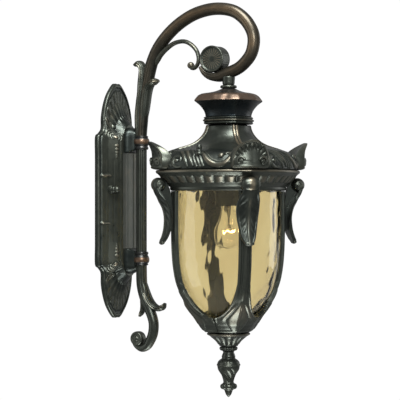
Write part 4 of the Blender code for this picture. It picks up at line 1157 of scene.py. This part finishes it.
COVER_PROFILE = [
    (6.4, 52), (14, 52), (23, 48.5), (29, 41), (30, 30), (30, -10), (28.6, -10), (28.6, 30),
    (27.6, 40.2), (22.2, 47), (14, 50.4), (6.4, 50.4),
]
HOLDER_PROFILE = [
    (0, 44.4), (18, 44.4), (24, 38), (24, 10), (24, 10), (23.2, 8), (24, 6), (24, -6), (24, -6),
    (13.9, -6), (13.9, -6), (13.9, 14.6), (13.9, 14.6), (0, 14.6),
]
BULB_PROFILE = [
    (13.2, -9.4), (14.4, -20), (20.5, -38), (27.5, -54), (30, -68), (28, -81), (20, -91.5),
    (9, -97.4), (0.0, -98.6),
]
MOUNT_PROFILE = [(0, -9.8), (6, -9.8), (5, -24), (3.2, -34), (2.2, -44), (1.4, -56), (0, -57)]
# Lead wires of the filament: distance from the lamp's axis, and height
LEAD_LINE = ((1.0, -50.0), (5.0, -53.0), (12.0, -61.5))
LEAD_TURNS = (-2.36, -0.8, 0.8, 2.36)


def cover_relief(angle, radius, height):
    return 0.6 * ridge(height - 30, 2.2) * (radius > 29.3)


def make_envelope():
    """The bulb's glass, a millimetre thick."""
    outside = spline(BULB_PROFILE, 1.5)
    outside[-1, 0] = 0.0
    inside = outside - np.array([1.0, 0.0]) * (outside[:, :1] > 1.0)
    inside[outside[:, 1] < -85] += (0, 0.7)
    inside[:, 0] = np.clip(inside[:, 0], 0, None)
    profile = np.concatenate([outside[:-1], [(0.35, -98.6), (0.35, -97.6)], inside[-2::-1]])
    turned_piece(("lamp_envelope", "bulb", CLEAR, "clear_glass", "bulb_glass"), profile, segs=96,
                 step=2.5, rounds=0)


def make_filament():
    form = Form()
    lathe(form, MOUNT_PROFILE, segs=32, step=1.5, closed=False, rub=0.0)
    turns = np.linspace(0, 1, 240)
    arc_turn = math.pi * (turns - 0.5) * 1.5
    height = -62 + 0.9 * np.cos(TAU * 34 * turns) + 2 * np.cos(TAU * 3 * turns)
    coil = np.stack([12 * np.cos(arc_turn), 12 * np.sin(arc_turn) - LANTERN_OUT, height], -1)
    sweep(form, coil, 0.34, rub=1.0, sides=6)
    for angle in LEAD_TURNS:
        wire = spline([(r * math.cos(angle), r * math.sin(angle), z) for r, z in LEAD_LINE], 1.0)
        sweep(form, wire - (0, LANTERN_OUT, 0), 0.35, rub=0.0, sides=8)
    piece(form, "lamp_filament", "bulb", FILAMENT, "steel", "bulb_filament")


def make_lamp():
    turned_piece(("holder_cover", "root", BRONZE, "bronze", "lampholder_cover"), COVER_PROFILE,
                 rub=0.2, relief=cover_relief)
    turned_piece(("holder_body", "root", PORCELAIN, "porcelain", "lampholder"), HOLDER_PROFILE,
                 segs=72, step=1.5, closed=False)
    cap = [(0, 14), (4.5, 14), (4.8, 12.6), (7.5, 10.5), (12.2, 7.4)]
    for turn in range(4):
        low = 5.6 - turn * 3.6
        cap += [(13.1, low), (12.2, low - 1.8)]
    cap += [(13.1, -9), (0, -9)]
    turned_piece(("screw_cap", "bulb", BRASS, "brass", "bulb_cap"), cap, segs=64, step=0.9,
                 closed=False)
    make_envelope()
    make_filament()
    threaded_piece(("nipple_tube", "root", STEEL, "steel", "stem_nipple"), 0, 47.5, 246, 5.9, 1.4)
    hex_nut(("nipple_nut", "root", STEEL, "steel", "roof_locknut"), 6.2, 11.5, 147.1, 141)


# ------------------------------------------------------------------------ cage

GALLERY_PROFILE = [
    (145.4, 60.8), (149.4, 60.2), (150.8, 57.4), (149.6, 54.4), (146, 52.4), (144.4, 50.4),
    (140.4, 47.8), (131, 38), (123.8, 28.6), (121.4, 27.2), (121.4, 22.2), (118.4, 19.6),
    (112.6, 19.6), (113.2, 25), (120.5, 36), (129, 46), (133.5, 52.5), (124, 54.5), (124, 60.8),
]
CAGE_CURVE = [
    (117, 19.2), (117.2, -40), (116.6, -80), (115.6, -105), (113, -133), (107, -163),
    (96, -189), (79.5, -215), (66, -233), (56.5, -250), (46.5, -262),
]
RIB_HALF = 13.0
RIB_THICKNESS = 6.0
OPENING_HALF = [
    (-152, 200), (-163, 66.4), (-176, 61.5), (-189, 54.5), (-201, 46), (-211, 37), (-219, 27.5),
    (-225.4, 17), (-229.4, 8), (-231, 0), (-263, 0),
]
# Half width of the tulip leaf, by the distance below the backplate's middle
LEAF_SPREAD = ([194, 206, 220, 234, 246, 256, 262], [1, 6, 14, 23, 18, 9, 1])
GADROONS = 9
PANE_THICKNESS = 3.0
PANE_GAP = 0.6
# Each wave of the rolled glass has a length between these
SHORTEST, LONGEST = 16.0, 46.0
WAVES = 14
FIRST_SEED = 20


def gallery_relief(angle, radius, height):
    x = around_face(angle, 131.0)
    wave = np.abs(np.cos(math.pi * x / (2 * 97.0 / GADROONS)))
    outside = between(height, 36, 48.5, 1.6) * (radius > np.interp(height, [28, 50], [118.5, 138]))
    return 3.0 * (wave**0.75 - 0.35) * outside


def gallery_worn(angle, radius, height, lift):
    lip = 0.28 * between(height, 56, 60, 1.5) * (radius > 146)
    return 0.3 + 0.10 * lift + lip


def add_curved_sheet(form, front, back, unit, height, degrees, rub):
    """A curved sheet of the cage between two distances from its axis."""
    sheets = []
    for reach in (front, back):
        points = reach[..., None] * unit
        points[..., 2] = height
        sheets.append(turned_to(points, degrees))
    add_sheet(form, *sheets, rub)


def rib_half_width(radius, height):
    """Half width of a rib: a plain strap above, then all that the arched openings leave."""
    quarter = radius * PLAN_LENGTH * math.pi / 4
    levels, halves = np.array(OPENING_HALF[::-1]).T
    opening = np.interp(height, levels, halves)
    return np.maximum(RIB_HALF, quarter - opening + 0.4)


def cage_patch(radius, height, half, columns, centre_turn):
    """Grid on the bowed square, centred on +X; each row spans its own half width."""
    u = np.linspace(-1, 1, columns)
    angle = (half / (radius * 0.975))[:, None] * u
    reach = radius[:, None] * plan_scale(angle + centre_turn)
    unit = np.stack([np.cos(angle), np.sin(angle), np.zeros_like(angle)], -1)
    return reach, unit, u, height[:, None] * np.ones_like(u)


def add_rib(form, degrees):
    """A strap with beads above, which spreads into a tulip leaf between the openings."""
    radius, z = spline(CAGE_CURVE, 1.6).T
    half = rib_half_width(radius, z) + 0.3 * step_up(-z, 238, 242)
    reach, unit, u, height = cage_patch(radius, z, half, 61, math.pi / 4)
    across = half[:, None] * u
    size, down = np.abs(across), -height
    gap = half[:, None] - size
    bead = 1.7 * ridge(gap - 2.4, 2.3) - 0.7 * ridge(gap - 5.6, 1.4)
    bead = bead * (1 - step_up(down, 236, 243))
    strap = 2.3 * ridge(across, 4.6) + 0.9 * ridge(size - 6.6, 1.6)
    strap = strap * (1 - step_up(down, 176, 200))
    spread = np.interp(down, *LEAF_SPREAD)
    petal_gap = size / spread
    petal = 4.4 * np.clip(1 - petal_gap**2.4, 0, 1) ** 0.6
    petal = petal * (0.40 + 0.60 * np.clip(petal_gap, 0, 1) ** 1.5)
    petal = petal + 2.2 * np.exp(-((across / 1.7) ** 2)) * step_up(spread, 3, 8)
    petal = petal * step_up(down, 194, 206)
    side_leaf = 2.4 * ridge(np.abs(size - spread * 1.12 - 5), 4.4)
    side_leaf = side_leaf * step_up(down, 198, 212) * (1 - step_up(down, 228, 240))
    ring = 1.6 * ridge(down - 259, 2.6)
    lift = np.maximum.reduce([bead, strap, petal, side_leaf, ring]) + 3.2 * ridge(down - 212, 34)
    back = reach - RIB_THICKNESS
    add_curved_sheet(form, reach + lift, back, unit, height, degrees, 0.22 + 0.045 * lift)


def waves(seed, x, y):
    """Smooth random swell, about one high, from sine waves of seeded directions."""
    random = np.random.default_rng(seed)
    total = 0.0
    for _ in range(WAVES):
        angle = random.uniform(0, TAU)
        length = random.uniform(SHORTEST, LONGEST)
        phase = random.uniform(0, TAU)
        wave = (x * math.cos(angle) + 0.6 * y * math.sin(angle)) * TAU / length
        total = total + np.sin(wave + phase)
    return total / math.sqrt(WAVES)


def add_pane(form, degrees, seed):
    """A curved pane behind an opening, smooth outside and rolled in waves inside."""
    rows = spline(CAGE_CURVE, 2.5)
    rows = rows[rows[:, 1] > -238]
    radius, z = rows[:, 0] - RIB_THICKNESS - PANE_GAP, rows[:, 1]
    z = np.where(z > 18, 29.0, z)
    opening = radius * PLAN_LENGTH * math.pi / 4 - rib_half_width(rows[:, 0], z)
    half = np.maximum(opening + 5.0, 8.0)
    reach, unit, u, height = cage_patch(radius, z, half, 73, 0.0)
    across = half[:, None] * u
    front = reach + 0.06 * waves(seed + 9, across, height) - 0.3
    back = reach - PANE_THICKNESS + 0.42 * waves(seed, across, height)
    add_curved_sheet(form, front, back, unit, height, degrees, 0.0)


LEG_LINE = [
    (154, 24), (149.5, 12), (142, -1), (134.8, -15), (131, -33), (132, -55), (135.6, -70),
    (139.4, -79.5), (140.6, -85),
]
LEG_HALF = [15.5, 17.5, 21.6, 23.6, 22, 18, 14.5, 10, 6.5]
KNOB_ROLL = [
    (0, -18.5), (5.5, -18), (9.4, -15.4), (12.4, -10.4), (14, -4), (14.4, 0), (14, 4), (12.4, 10.4),
    (9.4, 15.4), (5.5, 18), (0, 18.5),
]
# Section of the web that joins a bracket to its rib, as (reach, height)
BRACKET_WEB = [
    (118, 20), (138, 47), (146, 34), (136, 4), (128, -16), (125, -38), (124, -60), (116, -62),
]
WEB_HALF = 4.5
KNOB_AT = (145.2, 31.5)


def roll_relief(angle, radius, height):
    # Height runs along the roll here: a coil line winds in on each flank.
    coil = np.cos(angle - radius * TAU / 6.2) * (np.abs(height) > 13)
    return 0.7 * np.clip(coil, 0, 1) ** 0.7 * between(radius, 1.5, 11.5, 1.0)


def add_bracket(form, degrees):
    """Leaf-faced scroll: a barrel roll under the eave, an S-shaped leg and a thick foot."""
    dense = spline(np.column_stack([LEG_LINE, LEG_HALF]), 1.5)
    tangent = np.gradient(dense[:, :2], axis=0)
    tangent /= np.linalg.norm(tangent, axis=1, keepdims=True)
    normal = np.stack([-tangent[:, 1], tangent[:, 0]], -1)
    u = np.linspace(-1, 1, 61)
    share = np.linspace(0, 1, len(dense))[:, None]
    z = dense[:, 1:2] * np.ones_like(u)
    half = dense[:, 2:3]
    side = half * u
    size = np.abs(side)
    vein = 2.0 * ridge(side, 3.4) - 0.5 * ridge(size - 5.4, 1.8)
    slant = 0.45 * np.cos(TAU * (z + 1.3 * size) / 15.0) * between(size, 6, half - 5, 1.5)
    rim = 1.3 * ridge(size - half + 2.2, 2.2)
    leg = step_up(share, 0.10, 0.25)
    lift = np.maximum(vein * leg, rim) + slant * leg - 0.016 * size**2
    depth = np.interp(share, [0, 0.1, 0.3, 0.8, 1], [8, 8, 8.5, 8.5, 6])
    sheets = []
    for away, narrowed in ((lift + 1.0, 1.0), (-depth + 0 * u, 0.94)):
        reach, level = (dense[:, i:i + 1] + normal[:, i:i + 1] * away for i in (0, 1))
        sheets.append(turned_to(np.stack([reach, side * narrowed, level], -1), degrees))
    add_sheet(form, *sheets, 0.25 + 0.10 * np.clip(lift, -1, 3))
    # The foot ends in a small roll that turns outwards.
    foot = np.linspace(-8, 8, 17)
    line = np.stack([np.full(17, 138.2), foot, np.full(17, -82.5)], -1)
    sweep(form, turned_to(line, degrees), 4.8 * np.sqrt(1 - (foot / 10) ** 2), sides=24, rub=0.34)
    # The barrel is worn lighter round its widest middle, which also paints a highlight there.
    roll = Form()
    lathe(roll, KNOB_ROLL, (0, 0, 0), roll_relief, worn_by(0.24, 0.20, 0.42, 12.4, 14.4), axis="y",
          segs=56, step=0.9, closed=False, rounds=1)
    points = roll.points[0] + (KNOB_AT[0], 0, KNOB_AT[1])
    form.add(turned_to(points, degrees), roll.faces, roll.rubs[0])
    loop = softened(BRACKET_WEB, True, 2)
    rings = [np.stack([loop[:, 0], np.full(len(loop), side), loop[:, 1]], -1)
             for side in (-WEB_HALF, WEB_HALF)]
    add_capped(form, turned_to(np.array(rings), degrees), 0.15)


CUP_PROFILE = [
    (60, -231), (60, -231), (49, -249.5), (40, -262.6), (40, -262.6), (3.6, -263), (3.6, -259.5),
    (36, -259.5), (46, -247.5), (57, -231),
]
BASE_PROFILE = [
    (3.6, -263.4), (40.6, -263.4), (43.2, -264.6), (43.4, -267.2), (41, -268.6), (38, -270),
    (33, -273), (28, -277), (24, -281), (20.4, -286), (18.6, -290), (18.6, -290), (3.6, -290),
]
FINIAL_PROFILE = [
    (0, -313), (3.1, -313), (3.1, -313),
    (3.1, -290.5), (13, -290.5), (17, -292.2), (18, -295), (16.4, -298.4), (13, -300), (11.4, -301),
    (10.6, -303), (12.4, -307), (14, -311.5), (13, -315), (17, -317.6), (21, -321), (23.4, -327.4),
    (21.4, -336), (16.4, -344), (13, -350), (10.4, -357), (9.9, -363), (13, -366), (16.4, -368.6),
    (16, -374), (11, -377), (8.4, -378.6), (7.4, -382), (5.4, -386.5), (3.2, -390.6), (0, -393),
]


def finial_relief(angle, radius, height):
    def lobes(ribs, power, offset, low, high, soft, twist=0.0):
        wave = np.abs(np.cos(angle * ribs + twist)) ** power - offset
        return wave * between(height, low, high, soft)

    urn = 1.5 * lobes(4, 0.7, 0.5, -362, -334, 2.5, (height + 345) * 0.18)
    beads = 0.9 * lobes(9, 1, 0.4, -299, -292, 0.8)
    belt = 0.9 * ridge(height + 328, 1.6)
    curls = 1.6 * lobes(2.5, 0.6, 0.4, -376, -366, 1.2)
    point = 0.8 * lobes(3, 1, 0.5, -389, -378, 1.5, height * 0.12)
    bowl = 0.4 * lobes(7, 1, 0.5, -325, -317, 1.0)
    return (urn + beads + belt + curls + point + bowl) * (radius > 4)


def base_relief(angle, radius, height):
    flutes = 2.4 * (np.abs(np.cos(angle * 6)) ** 0.8 - 0.55)
    return flutes * between(height, -287, -271.5, 1.5) * (radius > 12)


def base_worn(angle, radius, height, lift):
    return 0.24 + 0.10 * lift + 0.24 * between(height, -268.5, -264, 0.8) * (radius > 41)


def make_cage():
    turned_piece(("gallery_casting", "cage", BRONZE, "bronze", "gallery"), GALLERY_PROFILE, 50,
                 relief=gallery_relief, worn=gallery_worn, segs=720, square=True, step=1.2,
                 rounds=1)
    for side, sign in SIDES:
        threaded_piece((f"cage_stud_{side}", "cage", STEEL, "steel", f"gallery_stud_{side}"),
                       sign * ROOF_STUD_SIDE, 54.5, 104, 2.5, 0.8)
    for corner, degrees in CORNERS.items():
        for name, replaced, build in (("rib_casting", "cage_rib", add_rib),
                                      ("bracket_casting", "scroll_bracket", add_bracket)):
            label = (f"{name}_{corner}", "cage", BRONZE, "bronze", f"{replaced}_{corner}")
            built_piece(label, build, degrees, sharp=60)
    for seed, (face, degrees) in enumerate(FACES.items(), FIRST_SEED):
        label = (f"water_glass_{face}", "cage", AMBER, "amber_glass", f"glass_pane_{face}")
        built_piece(label, add_pane, degrees, seed, sharp=80)
    turned_piece(("cup_casting", "cage", BRONZE, "bronze", "cage_cup"), CUP_PROFILE, segs=160,
                 square=True, step=1.5, rub=0.24)
    turned_piece(("base_cove", "cage", BRONZE, "bronze", "cage_base"), BASE_PROFILE, 50,
                 relief=base_relief, worn=base_worn, segs=240, step=1.0)
    threaded_piece(("finial_rod", "cage", STEEL, "steel", "finial_stud"), 0, -312, -250, 2.7, 0.9)
    hex_nut(("finial_hex", "cage", STEEL, "steel", "finial_nut"), 3.0, 6.5, -253, -259.1)
    turned_piece(("finial_drop", "finial", BRONZE, "bronze", "finial"), FINIAL_PROFILE, 60,
                 relief=finial_relief, worn=worn_by(0.24, 0.10), segs=144, step=1.0, closed=False)


# ------------------------------------------------------- carried-over CAD nodes


def dress_cad():
    """Hidden fittings keep their CAD meshes and take a detailed finish."""
    kept = {
        "wall_bracket": STEEL, "lug_screw_upper": STEEL, "lug_screw_lower": STEEL,
        "terminal_block": PORCELAIN, "supply_lead": RUBBER,
    }
    for name, material in kept.items():
        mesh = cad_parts[name].data
        mesh.materials.clear()
        mesh.materials.append(material)


# ----------------------------------------------------------------------- stage


def make_camera():
    data = bpy.data.cameras.new("camera")
    data.lens = 148.5
    data.sensor_width = 36.0
    data.clip_end = 100.0
    camera = bpy.data.objects.new("camera", data)
    bpy.context.scene.collection.objects.link(camera)
    camera.location = (-2.914, -1.818, 0.0014)
    camera.rotation_euler = (math.radians(90), 0, math.radians(-61))
    bpy.context.scene.camera = camera


def area_light(name, place, size, power):
    """A softbox that lights the lantern and isn't seen itself, directly or through glass."""
    data = bpy.data.lights.new(name, "AREA")
    data.shape = "RECTANGLE"
    data.size, data.size_y = size
    data.energy = power
    light = bpy.data.objects.new(name, data)
    light.visible_camera = False
    light.visible_transmission = False
    bpy.context.scene.collection.objects.link(light)
    light.location = place
    light.rotation_euler = (Vector(LIT) - Vector(place)).to_track_quat("-Z", "Y").to_euler()


BACKDROP = 1.02
GLOSSY_DIM = 0.74
FLOOR_HALF = 5.0
FLOOR_LEVEL = -1.7
# Softboxes in metres and watts: name, place, (width, height), power; all face LIT
LIT = (0, -0.2, 0.05)
LIGHTS = (
    ("key", (-2.7, -1.9, 1.1), (1.1, 0.9), 90),
    ("overhead", (-1.0, -0.82, 2.1), (1.2, 1.2), 145),
    ("side", (-1.0, -3.4, 0.3), (0.5, 2.4), 12),
    ("right", (2.6, -1.6, 0.4), (1.0, 2.0), 9),
    ("fill", (-1.4, 1.75, 0.0), (0.9, 3.0), 15),
    ("under", (-0.12, -0.34, -1.5), (0.7, 0.7), 22),
)


def make_world():
    world = bpy.data.worlds.new("studio")
    world.use_nodes = True
    tree = world.node_tree
    background = tree.nodes["Background"]
    background.inputs["Color"].default_value = (1.0, 1.0, 1.0, 1)
    # The white backdrop is dimmer where metal mirrors it, as a dark studio would be.
    rays = tree.nodes.new("ShaderNodeLightPath").outputs
    mirrored_ray = math_node(tree, "SUBTRACT", rays["Is Glossy Ray"], rays["Is Transmission Ray"],
                             clamp=True)
    strength = math_node(tree, "MULTIPLY_ADD", mirrored_ray, -GLOSSY_DIM, BACKDROP)
    tree.links.new(strength, background.inputs["Strength"])
    bpy.context.scene.world = world


def make_floor():
    mesh = bpy.data.meshes.new("floor")
    half, level = FLOOR_HALF, FLOOR_LEVEL
    corners = ((-half, -half), (half, -half), (half, half), (-half, half))
    mesh.from_pydata([(x, y, level) for x, y in corners], [], [(0, 1, 2, 3)])
    material, tree, shader, where = nodes_for("pale_floor")
    paint(tree, shader, "Base Color", noise(tree, where, 3.0, 3.0, 0.5), [(0.3, 0.80), (0.7, 0.86)])
    shader.inputs["Roughness"].default_value = 0.8
    mesh.materials.append(material)
    floor = bpy.data.objects.new("floor", mesh)
    bpy.context.scene.collection.objects.link(floor)
    floor.visible_glossy = False


def make_stage():
    make_world()
    make_floor()
    for light in LIGHTS:
        area_light(*light)
    bpy.context.scene.view_settings.view_transform = "Standard"


make_backplate()
make_wall_fittings()
make_post()
make_collars()
make_lugs()
make_arch()
make_sheath_leaves()
make_branch()
make_drum()
make_tail()
make_head()
make_lamp()
make_cage()
dress_cad()
make_camera()
make_stage()
